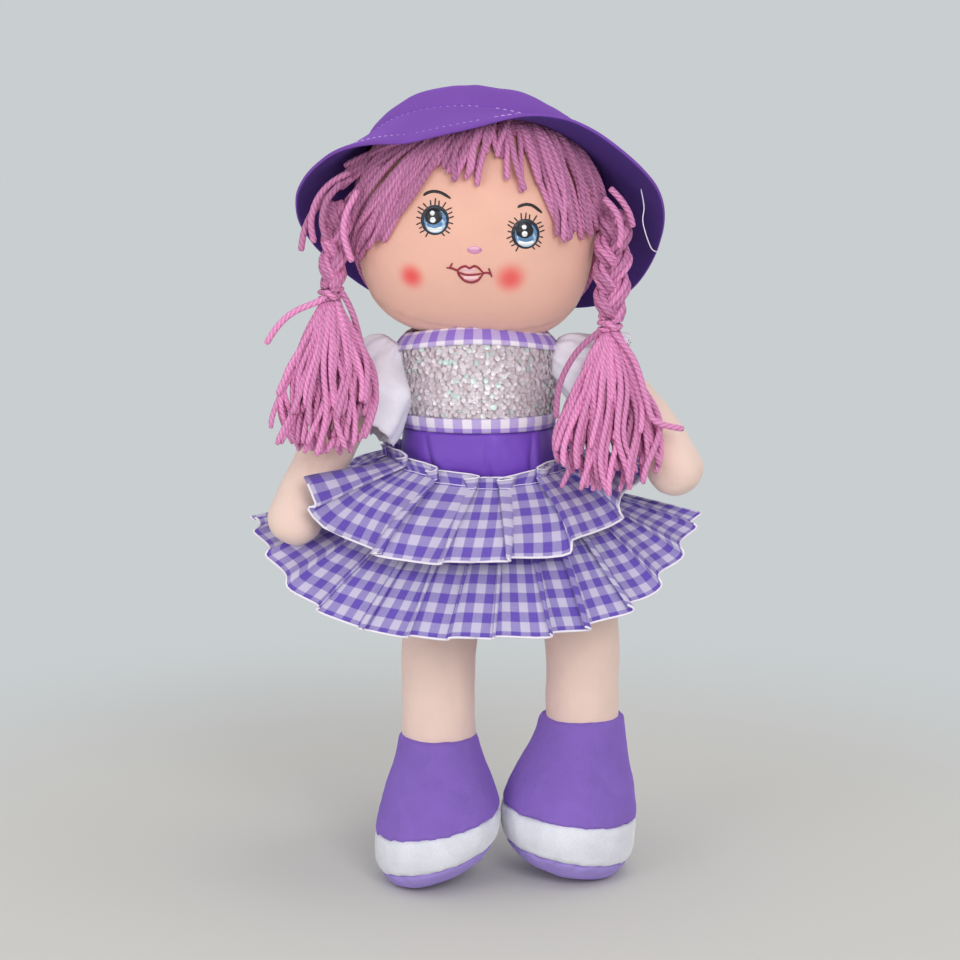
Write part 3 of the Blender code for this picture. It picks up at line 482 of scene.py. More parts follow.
# turns a wave texture's scale into waves per metre
WAVE_SHARE = 0.31


def jersey(name, colour, blushes=()):
    """Brushed cotton jersey: a matt skin with a short nap, faintly mottled, its knit only just seen."""
    material, tree, shader = start_material(name, Roughness=0.92, Sheen_Weight=0.25, Sheen_Roughness=0.6)
    place = add_node(tree, "ShaderNodeTexCoord").outputs["Object"]
    mottle = add_node(tree, "ShaderNodeTexNoise", None, {"Vector": place, "Scale": 60, "Detail": 3})
    tinted = add_node(tree, "ShaderNodeMix", {"data_type": "RGBA"}, {
        0: mottle.outputs["Fac"], 6: four(shade(colour, 0.93)), 7: four(shade(colour, 1.05))})
    for centre, reach, strength in blushes:
        apart = add_node(tree, "ShaderNodeVectorMath", {"operation": "DISTANCE"}, {0: place, 1: centre})
        fade = add_node(tree, "ShaderNodeMapRange", {"interpolation_type": "SMOOTHERSTEP"}, {
            "Value": apart.outputs["Value"], "From Max": reach, "To Min": strength, "To Max": 0})
        tinted = add_node(tree, "ShaderNodeMix", {"data_type": "RGBA"}, {
            0: fade.outputs[0], 6: tinted.outputs[2], 7: four(colours().blush)})
    tree.links.new(tinted.outputs[2], shader.inputs["Base Color"])
    # knit loops are 0.5 mm on the real cloth and are drawn at 1 mm
    nap = add_node(tree, "ShaderNodeTexNoise", None, {"Vector": place, "Scale": 1000, "Detail": 2})
    bump = add_node(tree, "ShaderNodeBump", None, {
        "Strength": 0.25, "Distance": 0.0004, "Height": nap.outputs["Fac"]})
    tree.links.new(bump.outputs[0], shader.inputs["Normal"])
    return material


def spun_yarn(name, colour, ply):
    """Acrylic knitting yarn: plies wound round each other, with painted shade in their grooves, and a fuzzy
    halo.
    """
    material, tree, shader = start_material(name, Roughness=0.95, Sheen_Weight=0.55, Sheen_Roughness=0.45)
    shader.inputs["Sheen Tint"].default_value = four(shade(colour, 1.5))
    layout = add_node(tree, "ShaderNodeUVMap", {"uv_map": "cloth"}).outputs[0]
    parts = add_node(tree, "ShaderNodeSeparateXYZ", None, {0: layout})
    around = add_node(tree, "ShaderNodeMath", {"operation": "MULTIPLY"}, {0: parts.outputs[0], 1: 3})
    winding = add_node(tree, "ShaderNodeMath", {"operation": "MULTIPLY_ADD"}, {
        0: parts.outputs[1], 1: 1 / ply, 2: around.outputs[0]})
    turned = add_node(tree, "ShaderNodeMath", {"operation": "MULTIPLY"}, {0: winding.outputs[0], 1: 2 * pi})
    wave = add_node(tree, "ShaderNodeMath", {"operation": "SINE"}, {0: turned.outputs[0]})
    crest = add_node(tree, "ShaderNodeMapRange", None, {
        "Value": wave.outputs[0], "From Min": -1, "From Max": 0.7, "To Min": 0, "To Max": 1})
    place = add_node(tree, "ShaderNodeTexCoord").outputs["Object"]
    fuzz = add_node(tree, "ShaderNodeTexNoise", None, {"Vector": place, "Scale": 1600, "Detail": 3})
    tone = add_node(tree, "ShaderNodeAttribute", {"attribute_name": "tone"}).outputs["Fac"]
    strand = add_node(tree, "ShaderNodeMix", {"data_type": "RGBA"}, {
        0: tone, 6: four(shade(colour, 0.76)), 7: four(shade(colour, 1.42))})
    # the colour is darkened where the plies dip between their crests: painted shade in the grooves
    groove = add_node(tree, "ShaderNodeMix", {"data_type": "RGBA", "blend_type": "MULTIPLY"}, {
        0: 1, 6: strand.outputs[2], 7: (0.80, 0.72, 0.78, 1)})
    wound = add_node(tree, "ShaderNodeMix", {"data_type": "RGBA"}, {
        0: crest.outputs[0], 6: groove.outputs[2], 7: strand.outputs[2]})
    tree.links.new(wound.outputs[2], shader.inputs["Base Color"])
    height = add_node(tree, "ShaderNodeMath", {"operation": "MULTIPLY_ADD"}, {
        0: fuzz.outputs["Fac"], 1: 0.35, 2: crest.outputs[0]})
    bump = add_node(tree, "ShaderNodeBump", None, {
        "Strength": 0.8, "Distance": 0.0006, "Height": height.outputs[0]})
    tree.links.new(bump.outputs[0], shader.inputs["Normal"])
    return material


def embroidery(name, colour):
    """Rayon embroidery thread in satin stitch: glossy rows of thread side by side, with painted shade
    between the rows and a painted highlight on each.
    """
    material, tree, shader = start_material(name, Roughness=0.42, Sheen_Weight=0.1)
    layout = add_node(tree, "ShaderNodeUVMap", {"uv_map": "cloth"}).outputs[0]
    # rows of thread are 0.4 mm apart
    rows = add_node(tree, "ShaderNodeTexWave", {"bands_direction": "Y"}, {
        "Vector": layout, "Scale": WAVE_SHARE / (2 * pi * SATIN_THREAD), "Distortion": 0.4})
    # the colour follows the rows: painted shade between them and a painted highlight on each
    tinted = add_node(tree, "ShaderNodeMix", {"data_type": "RGBA"}, {
        0: rows.outputs["Fac"], 6: four(shade(colour, 0.82)), 7: four(shade(colour, 1.12))})
    tree.links.new(tinted.outputs[2], shader.inputs["Base Color"])
    bump = add_node(tree, "ShaderNodeBump", None, {
        "Strength": 0.4, "Distance": 0.0002, "Height": rows.outputs["Fac"]})
    tree.links.new(bump.outputs[0], shader.inputs["Normal"])
    return material


def gingham_stripes(tree, place, check):
    """Where the dyed stripes of one direction are, from 0 to 1, and the waves of the threads along it."""
    stripe = add_node(tree, "ShaderNodeMath", {"operation": "PINGPONG"}, {0: place, 1: check})
    edge = add_node(tree, "ShaderNodeMapRange", None, {
        "Value": stripe.outputs[0], "From Min": check * 0.46, "From Max": check * 0.54})
    # threads are 0.25 mm apart on the real cloth and are drawn at 0.6 mm
    thread = add_node(tree, "ShaderNodeMath", {"operation": "MULTIPLY"}, {
        0: place, 1: 2 * pi / GINGHAM_THREAD})
    wave = add_node(tree, "ShaderNodeMath", {"operation": "SINE"}, {0: thread.outputs[0]})
    return edge.outputs[0], wave.outputs[0]


def gingham_cotton(name, check, dyed, pale):
    """Yarn-dyed gingham: dyed and pale stripes both ways, so that crossings are full, half or pale."""
    material, tree, shader = start_material(name, Roughness=0.88, Sheen_Weight=0.15)
    layout = add_node(tree, "ShaderNodeUVMap", {"uv_map": "cloth"}).outputs[0]
    parts = add_node(tree, "ShaderNodeSeparateXYZ", None, {0: layout})
    across, across_thread = gingham_stripes(tree, parts.outputs[0], check)
    down, down_thread = gingham_stripes(tree, parts.outputs[1], check)
    dye = add_node(tree, "ShaderNodeMath", {"operation": "ADD"}, {0: across, 1: down})
    weave = add_node(tree, "ShaderNodeMath", {"operation": "MULTIPLY"}, {0: across_thread, 1: down_thread})
    slubs = add_node(tree, "ShaderNodeTexNoise", None, {"Vector": layout, "Scale": 900, "Detail": 2})
    uneven = add_node(tree, "ShaderNodeMath", {"operation": "MULTIPLY_ADD"}, {
        0: slubs.outputs["Fac"], 1: 0.22, 2: -0.11})
    soaked = add_node(tree, "ShaderNodeMath", {"operation": "MULTIPLY"}, {0: dye.outputs[0], 1: 0.5})
    single = add_node(tree, "ShaderNodeMath", {"operation": "POWER"}, {0: soaked.outputs[0], 1: 0.72})
    half = add_node(tree, "ShaderNodeMath", {"operation": "ADD"}, {
        0: single.outputs[0], 1: uneven.outputs[0]})
    woven = add_node(tree, "ShaderNodeMath", {"operation": "MULTIPLY_ADD", "use_clamp": True}, {
        0: weave.outputs[0], 1: 0.07, 2: half.outputs[0]})
    cloth = add_node(tree, "ShaderNodeMix", {"data_type": "RGBA"}, {
        0: woven.outputs[0], 6: four(pale), 7: four(dyed)})
    tree.links.new(cloth.outputs[2], shader.inputs["Base Color"])
    bump = add_node(tree, "ShaderNodeBump", None, {
        "Strength": 0.3, "Distance": 0.0003, "Height": weave.outputs[0]})
    tree.links.new(bump.outputs[0], shader.inputs["Normal"])
    return material


def brushed_twill(name, colour):
    """Brushed cotton twill: matt and dense, with fine slanting ribs and a faintly worn nap."""
    material, tree, shader = start_material(name, Roughness=0.9, Sheen_Weight=0.35, Sheen_Roughness=0.5)
    shader.inputs["Sheen Tint"].default_value = four(shade(colour, 2))
    place = add_node(tree, "ShaderNodeTexCoord").outputs["Object"]
    nap = add_node(tree, "ShaderNodeTexNoise", None, {
        "Vector": place, "Scale": 45, "Detail": 5, "Roughness": 0.65})
    tinted = add_node(tree, "ShaderNodeMix", {"data_type": "RGBA"}, {
        0: nap.outputs["Fac"], 6: four(shade(colour, 0.84)), 7: four(shade(colour, 1.18))})
    tree.links.new(tinted.outputs[2], shader.inputs["Base Color"])
    # ribs are 0.5 mm apart on the real twill and are drawn at 1 mm
    ribs = add_node(tree, "ShaderNodeTexWave", {"bands_direction": "DIAGONAL"}, {
        "Vector": place, "Scale": 300, "Distortion": 1.2, "Detail": 2, "Detail Scale": 3})
    bump = add_node(tree, "ShaderNodeBump", None, {
        "Strength": 0.18, "Distance": 0.0004, "Height": ribs.outputs["Fac"]})
    tree.links.new(bump.outputs[0], shader.inputs["Normal"])
    return material


def plush(name, colour):
    """Short-pile polyester plush: soft tufts that catch the light at the edges and lie in patches. Its
    colour has painted shade between the tufts, and painted highlights and shade in the patches.
    """
    material, tree, shader = start_material(name, Roughness=0.95, Sheen_Weight=0.8, Sheen_Roughness=0.4)
    shader.inputs["Sheen Tint"].default_value = four(shade(colour, 1.6))
    place = add_node(tree, "ShaderNodeTexCoord").outputs["Object"]
    patches = add_node(tree, "ShaderNodeTexNoise", None, {
        "Vector": place, "Scale": 70, "Detail": 4, "Distortion": 0.6})
    # tufts are 0.7 mm across
    tufts = add_node(tree, "ShaderNodeTexNoise", None, {"Vector": place, "Scale": 1400, "Detail": 3})
    spread = add_node(tree, "ShaderNodeMath", {"operation": "MULTIPLY_ADD"}, {
        0: tufts.outputs["Fac"], 1: 0.5, 2: 0.25})
    both = add_node(tree, "ShaderNodeMath", {"operation": "MULTIPLY_ADD", "use_clamp": True}, {
        0: patches.outputs["Fac"], 1: 0.6, 2: spread.outputs[0]})
    # tufts and patches lighten and darken the colour: painted shade between the tufts, and painted
    # highlights and shade where the pile lies in patches
    tinted = add_node(tree, "ShaderNodeMix", {"data_type": "RGBA"}, {
        0: both.outputs[0], 6: four(shade(colour, 0.68)), 7: four(shade(colour, 1.22))})
    tree.links.new(tinted.outputs[2], shader.inputs["Base Color"])
    bump = add_node(tree, "ShaderNodeBump", None, {
        "Strength": 0.55, "Distance": 0.0007, "Height": tufts.outputs["Fac"]})
    tree.links.new(bump.outputs[0], shader.inputs["Normal"])
    return material


def fine_cloth(name, colour, gloss, crease):
    """Plain fine cloth, such as satin or lawn: smooth, with soft creases that the light runs along. Its
    colour is darker in their hollows and lighter on their ridges: painted shade and painted highlight.
    """
    material, tree, shader = start_material(name, Roughness=gloss, Sheen_Weight=0.4, Sheen_Roughness=0.4)
    place = add_node(tree, "ShaderNodeTexCoord").outputs["Object"]
    folds = add_node(tree, "ShaderNodeTexNoise", None, {
        "Vector": place, "Scale": 55, "Detail": 4, "Distortion": 0.8})
    # the fold noise also colours the cloth: painted shade in the hollows of the creases and a painted
    # highlight on their ridges
    tinted = add_node(tree, "ShaderNodeMix", {"data_type": "RGBA"}, {
        0: folds.outputs["Fac"], 6: four(shade(colour, 0.86)), 7: four(shade(colour, 1.14))})
    tree.links.new(tinted.outputs[2], shader.inputs["Base Color"])
    # threads are 0.2 mm apart on the real cloth and are drawn at 0.8 mm
    weave = add_node(tree, "ShaderNodeTexNoise", None, {"Vector": place, "Scale": 1200, "Detail": 1})
    height = add_node(tree, "ShaderNodeMath", {"operation": "MULTIPLY_ADD"}, {
        0: folds.outputs["Fac"], 1: crease, 2: weave.outputs["Fac"]})
    bump = add_node(tree, "ShaderNodeBump", None, {
        "Strength": 0.35, "Distance": 0.0004, "Height": height.outputs[0]})
    tree.links.new(bump.outputs[0], shader.inputs["Normal"])
    return material


# sequin colours; the white stands partly for pale sequins and partly for glints on them, which are painted
# glints
SEQUIN_ROSE = "#CFC2C8"
SEQUIN_WHITE_GLINT = "#F0EAF0"
SEQUIN_MINT = "#C6DBD4"


def sequin_film(name):
    """Clear iridescent polyester film: glossy discs, most of them pale rose, some white and a few mint. The
    white ones are partly pale sequins and partly painted glints.
    """
    material, tree, shader = start_material(
        name, Roughness=0.38, Metallic=0.1, Coat_Weight=0.4, Coat_Roughness=0.15)
    tone = add_node(tree, "ShaderNodeAttribute", {"attribute_name": "tone"}).outputs["Fac"]
    mint = add_node(tree, "ShaderNodeMapRange", None, {"Value": tone, "From Min": 0.90, "From Max": 0.96})
    # the lowest tones turn white: partly pale sequins, partly painted glints
    white = add_node(tree, "ShaderNodeMapRange", None, {"Value": tone, "From Min": 0.30, "From Max": 0})
    minted = add_node(tree, "ShaderNodeMix", {"data_type": "RGBA"}, {
        0: mint.outputs[0], 6: four(linear_colour(SEQUIN_ROSE)), 7: four(linear_colour(SEQUIN_MINT))})
    tinted = add_node(tree, "ShaderNodeMix", {"data_type": "RGBA"}, {
        0: white.outputs[0], 6: minted.outputs[2], 7: four(linear_colour(SEQUIN_WHITE_GLINT))})
    tree.links.new(tinted.outputs[2], shader.inputs["Base Color"])
    return material


def cotton_thread(name, hex_value, gloss=0.7):
    """Twisted cotton thread or cord, too thin to show its twist: one colour, nearly matt."""
    material, _, shader = start_material(name, Roughness=gloss)
    shader.inputs["Base Color"].default_value = four(linear_colour(hex_value))
    return material


# Head and face

# how the head's surface is divided, how far from its poles the first rows are, and its slight lumps
HEAD_ROWS = 96
HEAD_COLUMNS = 144
POLE_GAP = 0.02
LUMP_SHARE = 0.004
LUMP_SIZE = 0.02
# the gathered seam under the chin, in the head's frame: its height, how it rises towards the back, its
# depth and half its width, and its puckers
CHIN_SEAM_Z = -0.0355
CHIN_SEAM_RISE = 0.83
CHIN_SEAM_DEPTH = 0.0008
CHIN_SEAM_HALF = 0.0026
PUCKER_DEPTH = 0.0003
PUCKER_HALF = 0.007
PUCKERS_PER_METRE = 111.4
HEAD_RADIUS = 0.05
# sprayed cheeks as picture points, each with its reach in metres and its strength
CHEEKS = (((411.4, 276.4), 0.0100, 1.0), ((510.5, 278.4), 0.0116, 0.94))


def head_frame(centre, lean):
    return Matrix.Translation(centre) @ Matrix.Rotation(lean, 4, "Y")


def head_surface(direction):
    """The head's surface in its own frame: round above, with fuller jowls below."""
    power = 2 + (JOWL_POWER - 2) * smooth_step(-direction.z * 2.2)
    tall = HEAD_TOP if direction.z > 0 else HEAD_HALF.z
    flat = (abs(direction.x / HEAD_HALF.x) ** power + abs(direction.z / tall) ** power) ** (2 / power)
    return direction / sqrt(flat + (direction.y / HEAD_HALF.y) ** 2)


def chin_groove(point):
    """How deep the gathered chin seam draws the head in, at a point in the head's frame."""
    apart = abs(point.z - CHIN_SEAM_Z - CHIN_SEAM_RISE * min(0, point.y))
    depth = CHIN_SEAM_DEPTH * max(0, 1 - apart / CHIN_SEAM_HALF) ** 1.5
    wave = sin(2 * pi * PUCKERS_PER_METRE * point.x)
    return depth + PUCKER_DEPTH * wave * max(0, 1 - apart / PUCKER_HALF)


def head_ring(turn):
    """A ring of points round the head, at an angle down from its top."""
    ring = []
    for column in range(HEAD_COLUMNS):
        around = 2 * pi * column / HEAD_COLUMNS
        point = head_surface(Vector((sin(turn) * sin(around), -sin(turn) * cos(around), cos(turn))))
        point *= 1 - chin_groove(point) / HEAD_RADIUS + LUMP_SHARE * wobble(point, LUMP_SIZE)
        ring.append(head_frame(HEAD_CENTRE, HEAD_LEAN) @ point)
    return ring


class DOLL_OT_head(bpy.types.Operator):
    """Stuffed head with a chin seam and sprayed cheeks"""

    bl_idname = "doll.head"
    bl_label = "Head"

    def execute(self, context):
        turns = [pi * (row + POLE_GAP) / (HEAD_ROWS + 2 * POLE_GAP) for row in range(HEAD_ROWS, -1, -1)]
        coords = [[(step / HEAD_COLUMNS, row / HEAD_ROWS) for step in range(HEAD_COLUMNS + 1)]
                  for row in range(HEAD_ROWS + 1)]
        head = grid_piece("head_cotton", [head_ring(turn) for turn in turns], coords, closed=True)
        tree = surface_of(head)
        cheeks = [(on_head(tree, *spot, 0), reach, strength) for spot, reach, strength in CHEEKS]
        head.data.materials.append(jersey("brushed_cotton_jersey_head", colours().head_cotton, cheeks))
        place_on(head, "head", "cotton_head", "head")
        return {"FINISHED"}


# how deep the edge of a stitched patch sits in the cloth, and how a line of satin stitch is built across
EDGE_SUNK = 0.0002
STITCH_SHARES = (-1, -0.75, 0, 0.75, 1)
LINE_TIP_SHARE = 0.45
DISC_RINGS = 5
DISC_STEPS = 32


def on_head(tree, across, down, lift):
    """A point over the head's surface, where the sight through a picture point meets it."""
    place, sight = picture_ray(across, down)
    spot, normal, *_ = tree.ray_cast(place, sight)
    if spot is None:
        raise RuntimeError(f"no head behind the picture point {across:.0f}, {down:.0f}")
    return spot + normal * lift


def stitched_line(tree, points, width, height):
    """A raised line of satin stitch through picture points, as rows of surface points."""
    path = curve_through([Vector((*point, 0)) for point in points], max(6, 7 * len(points)))
    rows, coords, run = [], [], 0
    for step, point in enumerate(path):
        along = path[min(step + 1, len(path) - 1)] - path[max(step - 1, 0)]
        aside = Vector((-along.y, along.x, 0)).normalized()
        share = step / (len(path) - 1)
        thin = min(1, LINE_TIP_SHARE + 4 * min(share, 1 - share))
        row = []
        for place in STITCH_SHARES:
            spot = point + aside * (place * width / 2 * thin)
            lift = -EDGE_SUNK if abs(place) == 1 else height * (1 - place**2 * 0.4)
            row.append(on_head(tree, spot.x, spot.y, lift))
        run += (path[step] - path[step - 1]).length * PICTURE_POINT if step else 0
        rows.append(row)
        coords.append([(place * width * PICTURE_POINT / 4, run) for place in range(len(STITCH_SHARES))])
    return rows, coords


def stitched_disc(tree, centre, radius, height, low):
    """A filled oval of satin stitch round a picture point. Its radius is across and down."""
    rows, coords = [], []
    for ring in range(DISC_RINGS + 1):
        share = (ring + 0.001) / DISC_RINGS
        lift = low + height * (1 - share**4) - (EDGE_SUNK if ring == DISC_RINGS else 0)
        row, places = [], []
        for step in range(DISC_STEPS + 1):
            turn = 2 * pi * step / DISC_STEPS
            across = centre[0] + radius[0] * share * sin(turn)
            down = centre[1] - radius[1] * share * cos(turn)
            row.append(on_head(tree, across, down, lift))
            places.append((across * PICTURE_POINT, down * PICTURE_POINT))
        rows.append(row)
        coords.append(places)
    return rows, coords


def join_grids(name, grids):
    """One piece from several sheets of points."""
    verts, faces, uvs = [], [], []
    for rows, coords in grids:
        first, count = len(verts), len(rows[0])
        verts.extend(point for row in rows for point in row)
        for row in range(len(rows) - 1):
            for step in range(count - 1):
                corners = ((row, step), (row, step + 1), (row + 1, step + 1), (row + 1, step))
                faces.append([first + level * count + place for level, place in corners])
                uvs.extend(coords[level][place] for level, place in corners)
    return make_piece(name, verts, faces, uvs)


# Embroidery. Places, widths and radii are in picture points, and heights over the head are in metres
EYES = ((434.9, 220.0), (525.4, 233.8))
# an eye's discs, from the lowest up: thread, shift from its middle, radius, height, and how high it starts
EYE_DISCS = (
    ("navy", (0, 0), (16.0, 17.0), 0.0003, 0),
    ("iris", (0.4, 0.6), (12.9, 13.6), 0.00042, 0.0001),
    ("pale_iris", (0.6, 3.8), (11.1, 10.0), 0.0005, 0.0002),
    ("white", (0.4, 7.6), (8.8, 5.0), 0.0005, 0.0003),
    ("iris", (0.2, 3.8), (9.0, 6.5), 0.0005, 0.0004),
    ("black", (-0.8, -2.6), (9.0, 9.4), 0.0006, 0.0005),
    ("white", (-1.8, -6.8), (2.6, 2.6), 0.0005, 0.0010),
    ("white", (-1.4, -0.2), (3.2, 3.2), 0.0005, 0.0010),
)
FACE_DISCS = (
    ("nose", (474.6, 250.0), (8.2, 4.2), 0.0006, 0),
    ("nose_light", (474.2, 249.0), (5.8, 2.3), 0.0005, 0.0004),
    ("lip_fill", (468.5, 270.4), (8.6, 3.0), 0.0004, 0),
    ("lip_fill", (470.8, 277.8), (8.4, 3.2), 0.0004, 0),
)
BROWS = (
    ((423.5, 195.5), (428, 192.6), (434.6, 191.4), (442, 193.2), (450.8, 198.6)),
    ((517.5, 207.4), (522, 205.2), (527.5, 204.4), (534, 206.4), (541.8, 212.8)),
)
BROW_LINE = (3.4, 0.0004)
# lashes stand round the eye but for a gap below; those above are longer, and none is quite straight
LASHES = 19
LASH_SPAN = radians(300)
LASH_ROOT = (14.2, 15.0)
UPPER_LASH, LOWER_LASH = 6.0, 4.4
UPPER_LASH_SPAN = radians(80)
LASH_LINE = (1.5, 0.0003)
LIP_LINES = (
    ((446.5, 267.6), (452, 268.2), (457, 270.0), (461, 267.4), (465.5, 266.2), (469.5, 268.0),
     (474.5, 266.0), (479, 268.2), (483.4, 273.2)),
    ((457, 270.2), (459.4, 275.4), (464.5, 280.3), (471.2, 282.2), (478, 280.0), (483.4, 273.2)),
    ((458, 271.6), (464, 274.2), (470, 274.8), (476.5, 274.3), (482, 273.4)),
    ((452.4, 263.0), (449.2, 268.4)),
    ((483, 273.2), (487, 272.6), (491.4, 274.2)),
    ((488.6, 268.0), (491.8, 276.8)),
)
# the lips' two outlines are wider than the lines inside and at the corners
LIP_WIDTHS = (2.4, 2.4, 1.9, 1.9, 1.9, 1.9)
LIP_HEIGHT = 0.0006
THREADS = {
    "navy": "#1B2030", "iris": "#5C88B4", "pale_iris": "#A3C0DC", "white": "#F2F4F6", "black": "#15131A",
    "nose": "#D18CB4", "nose_light": "#E6AFCB", "lips": "#96203A", "lip_fill": "#F0BFC4",
}


def lash_ends(eye, step):
    """The root and the tip of a lash, as picture points."""
    across, down = EYES[eye]
    turn = LASH_SPAN * (step / (LASHES - 1) - 0.5)
    reach = (UPPER_LASH if abs(turn) < UPPER_LASH_SPAN else LOWER_LASH) + sin(step * 2.3 + eye)
    slant = turn + 0.28 * sin(step * 1.7)
    root = (across + LASH_ROOT[0] * sin(turn), down - LASH_ROOT[1] * cos(turn))
    return root, (root[0] + reach * sin(slant), root[1] - reach * cos(slant))


def eye_grids(tree, eye):
    """The stitched patches of one eye and its brow, each with its thread."""
    grids = []
    for thread, shift, radius, height, low in EYE_DISCS:
        centre = (EYES[eye][0] + shift[0], EYES[eye][1] + shift[1])
        grids.append((thread, stitched_disc(tree, centre, radius, height, low)))
    for step in range(LASHES):
        grids.append(("black", stitched_line(tree, lash_ends(eye, step), *LASH_LINE)))
    grids.append(("black", stitched_line(tree, BROWS[eye], *BROW_LINE)))
    return grids


class DOLL_OT_face(bpy.types.Operator):
    """Embroidered eyes, brows, nose and lips"""

    bl_idname = "doll.face"
    bl_label = "Face"

    def execute(self, context):
        tree = surface_of(bpy.data.objects["head_cotton"])
        grids = eye_grids(tree, 0) + eye_grids(tree, 1)
        grids += [(thread, stitched_disc(tree, *disc)) for thread, *disc in FACE_DISCS]
        for points, width in zip(LIP_LINES, LIP_WIDTHS):
            grids.append(("lips", stitched_line(tree, points, width, LIP_HEIGHT)))
        for name, hex_value in THREADS.items():
            piece = join_grids(f"stitched_{name}", [grid for thread, grid in grids if thread == name])
            piece.data.materials.append(embroidery(f"rayon_thread_{name}", linear_colour(hex_value)))
            place_on(piece, "head", "cotton_head")
        return {"FINISHED"}


# Hair


# The fringe fans out from a point above the brim's edge in the picture. Its locks are given by their ends
# as picture points, their numbers of strands and the spread of their ends
FRINGE_FOCUS = (506, 108)
BRIM_EDGE = ((300, 160), (345, 154), (382, 149), (423, 141), (459, 131), (490, 122), (522, 121), (555, 124),
             (586, 135), (620, 152), (650, 172))
FRINGE_LOCKS = (
    ((338, 184), 3, 5), ((346, 170), 3, 5), ((350, 200), 4, 7), ((347, 228), 4, 7), ((351, 256), 8, 7),
    ((364, 246), 6, 7), ((374, 240), 6, 6), ((384, 238), 6, 4), ((385, 216), 5, 5), ((398, 195), 5, 4),
    ((409, 181), 4, 4), ((428, 169), 4, 4), ((447, 171), 5, 4), ((456, 184), 3, 3), ((466, 178), 3, 4),
    ((476, 187), 2, 2), ((486, 158), 3, 4), ((498, 160), 3, 4), ((507, 180), 2, 2), ((521, 191), 2, 2),
    ((536, 185), 3, 3), ((551, 210), 4, 4), ((559, 236), 6, 4), ((567, 231), 5, 5), ((579, 236), 5, 5),
    ((591, 230), 5, 5), ((604, 216), 5, 6),
)
# how far from the focus the strands start, as a share of the way to their ends, and their spread there
FRINGE_ROOT_SHARE = 0.42
FRINGE_ROOT_SPREAD = 7
# strands lie in layers over the head; each bows and waves a little, in picture points
FRINGE_LIFT = 0.0030
FRINGE_LAYERS = (0, 0.0013, 0.0027)
FRINGE_TIP_DROP = 0.0015
FRINGE_BOW_SHARES = (-0.11, 0.02)
FRINGE_WAVE = 1.6
FRINGE_STEPS = 22
FRINGE_YARN_SHARES = (0.76, 0.9)
FRINGE_TONES = (0, 0.62)
# where the sight passes the head by, strands keep to a plane this far in front of its middle
SIDE_AHEAD = 0.014


def over_head(tree, across, down, lift):
    """A point lifted off the head behind a picture point, or beside the head where there is none."""
    place, sight = picture_ray(across, down)
    spot, normal, *_ = tree.ray_cast(place, sight)
    if spot is None or abs(normal.dot(sight)) < 0.25:
        level = on_plane(across, down, HEAD_CENTRE.y - SIDE_AHEAD)
        spot, normal, *_ = tree.find_nearest(level)
        return spot + normal * max(lift, (level - spot).dot(normal))
    return spot + normal * lift


def evened(path, rounds):
    """The path with its kinks drawn out; its ends stay."""
    for _ in range(rounds):
        path = [path[0]] + [
            (before + 2 * point + after) / 4 for before, point, after in zip(path, path[1:], path[2:])
        ] + [path[-1]]
    return path


def edge_under(across):
    """How far down the brim's front edge is at a place across the picture."""
    for low, high in zip(BRIM_EDGE, BRIM_EDGE[1:]):
        if across <= high[0]:
            return mix(low[1], high[1], max(0, (across - low[0]) / (high[0] - low[0])))
    return BRIM_EDGE[-1][1]


def fringe_path(tree, end, spread, chance):
    """The path of one strand, from under the brim to the end of its lock."""
    tip = Vector((end[0] + chance.gauss(0, spread * 0.6), end[1] + chance.gauss(0, spread * 0.7)))
    root = mix(FRINGE_FOCUS[0], tip.x, FRINGE_ROOT_SHARE) + chance.gauss(0, FRINGE_ROOT_SPREAD)
    start = Vector((root, edge_under(root) - chance.uniform(1, 5)))
    bow = (tip - start).length * chance.uniform(*FRINGE_BOW_SHARES)
    phase = chance.uniform(0, 2 * pi)
    aside = Vector((start.y - tip.y, tip.x - start.x)).normalized() * (1 if tip.x < start.x else -1)
    lift = FRINGE_LIFT + chance.choice(FRINGE_LAYERS) + chance.uniform(0, 0.0006)
    path = []
    for step in range(FRINGE_STEPS + 1):
        part = step / FRINGE_STEPS
        wave = FRINGE_WAVE * part * sin(7 * part + phase)
        flat = start.lerp(tip, part) - aside * (bow * sin(pi * part) + wave)
        level = lift * mix(0.35, 1, smooth_step(part * 4)) - FRINGE_TIP_DROP * part**3
        path.append(over_head(tree, flat.x, flat.y, level))
    return evened(path, 4)


def fringe_strands(tree, chance):
    """The yarn that fans out from under the front of the brim."""
    share = sizes().fringe_strands / sum(lock[1] for lock in FRINGE_LOCKS)
    found, owed = [], 0
    for end, count, spread in FRINGE_LOCKS:
        owed += count * share
        for _ in range(int(owed)):
            owed -= 1
            path = fringe_path(tree, end, spread, chance)
            radius = sizes().yarn_radius * chance.uniform(*FRINGE_YARN_SHARES)
            found.append((path, radius, chance.uniform(*FRINGE_TONES)))
    return found


# The parting runs from the forehead over the crown to the nape, as directions from the head's middle
PARTING = (Vector((0.10, -0.58, 0.80)), Vector((0.03, -0.20, 0.98)), Vector((0, 0.50, 0.87)),
           Vector((0, 0.95, 0.31)), Vector((0, 0.93, -0.37)), Vector((0, 0.72, -0.69)))
CAP_STARTS = 54
CAP_STEPS = 24
CAP_LAYERS = 2
CAP_LIFT = 0.0016
CAP_LAYER = 0.0014
CAP_YARN_SHARES = (0.95, 1.1)
CAP_TONES = (0, 0.6)
# strands dip below the straight way, most from the nape; the hat presses them down, fully at this depth
CAP_DIP, NAPE_DIP = 0.16, 0.85
NAPE_START = 0.55
HAT_PRESS = 0.0030
HAT_PRESS_DEPTH = 0.008


def under_hat(spot):
    """1 well inside the hat's crown, and 0 below its seam."""
    axis = hat_point(0, 0, 1) - hat_point(0, 0, 0)
    return smooth_step((spot - hat_point(0, 0, 0)).dot(axis) / HAT_PRESS_DEPTH)


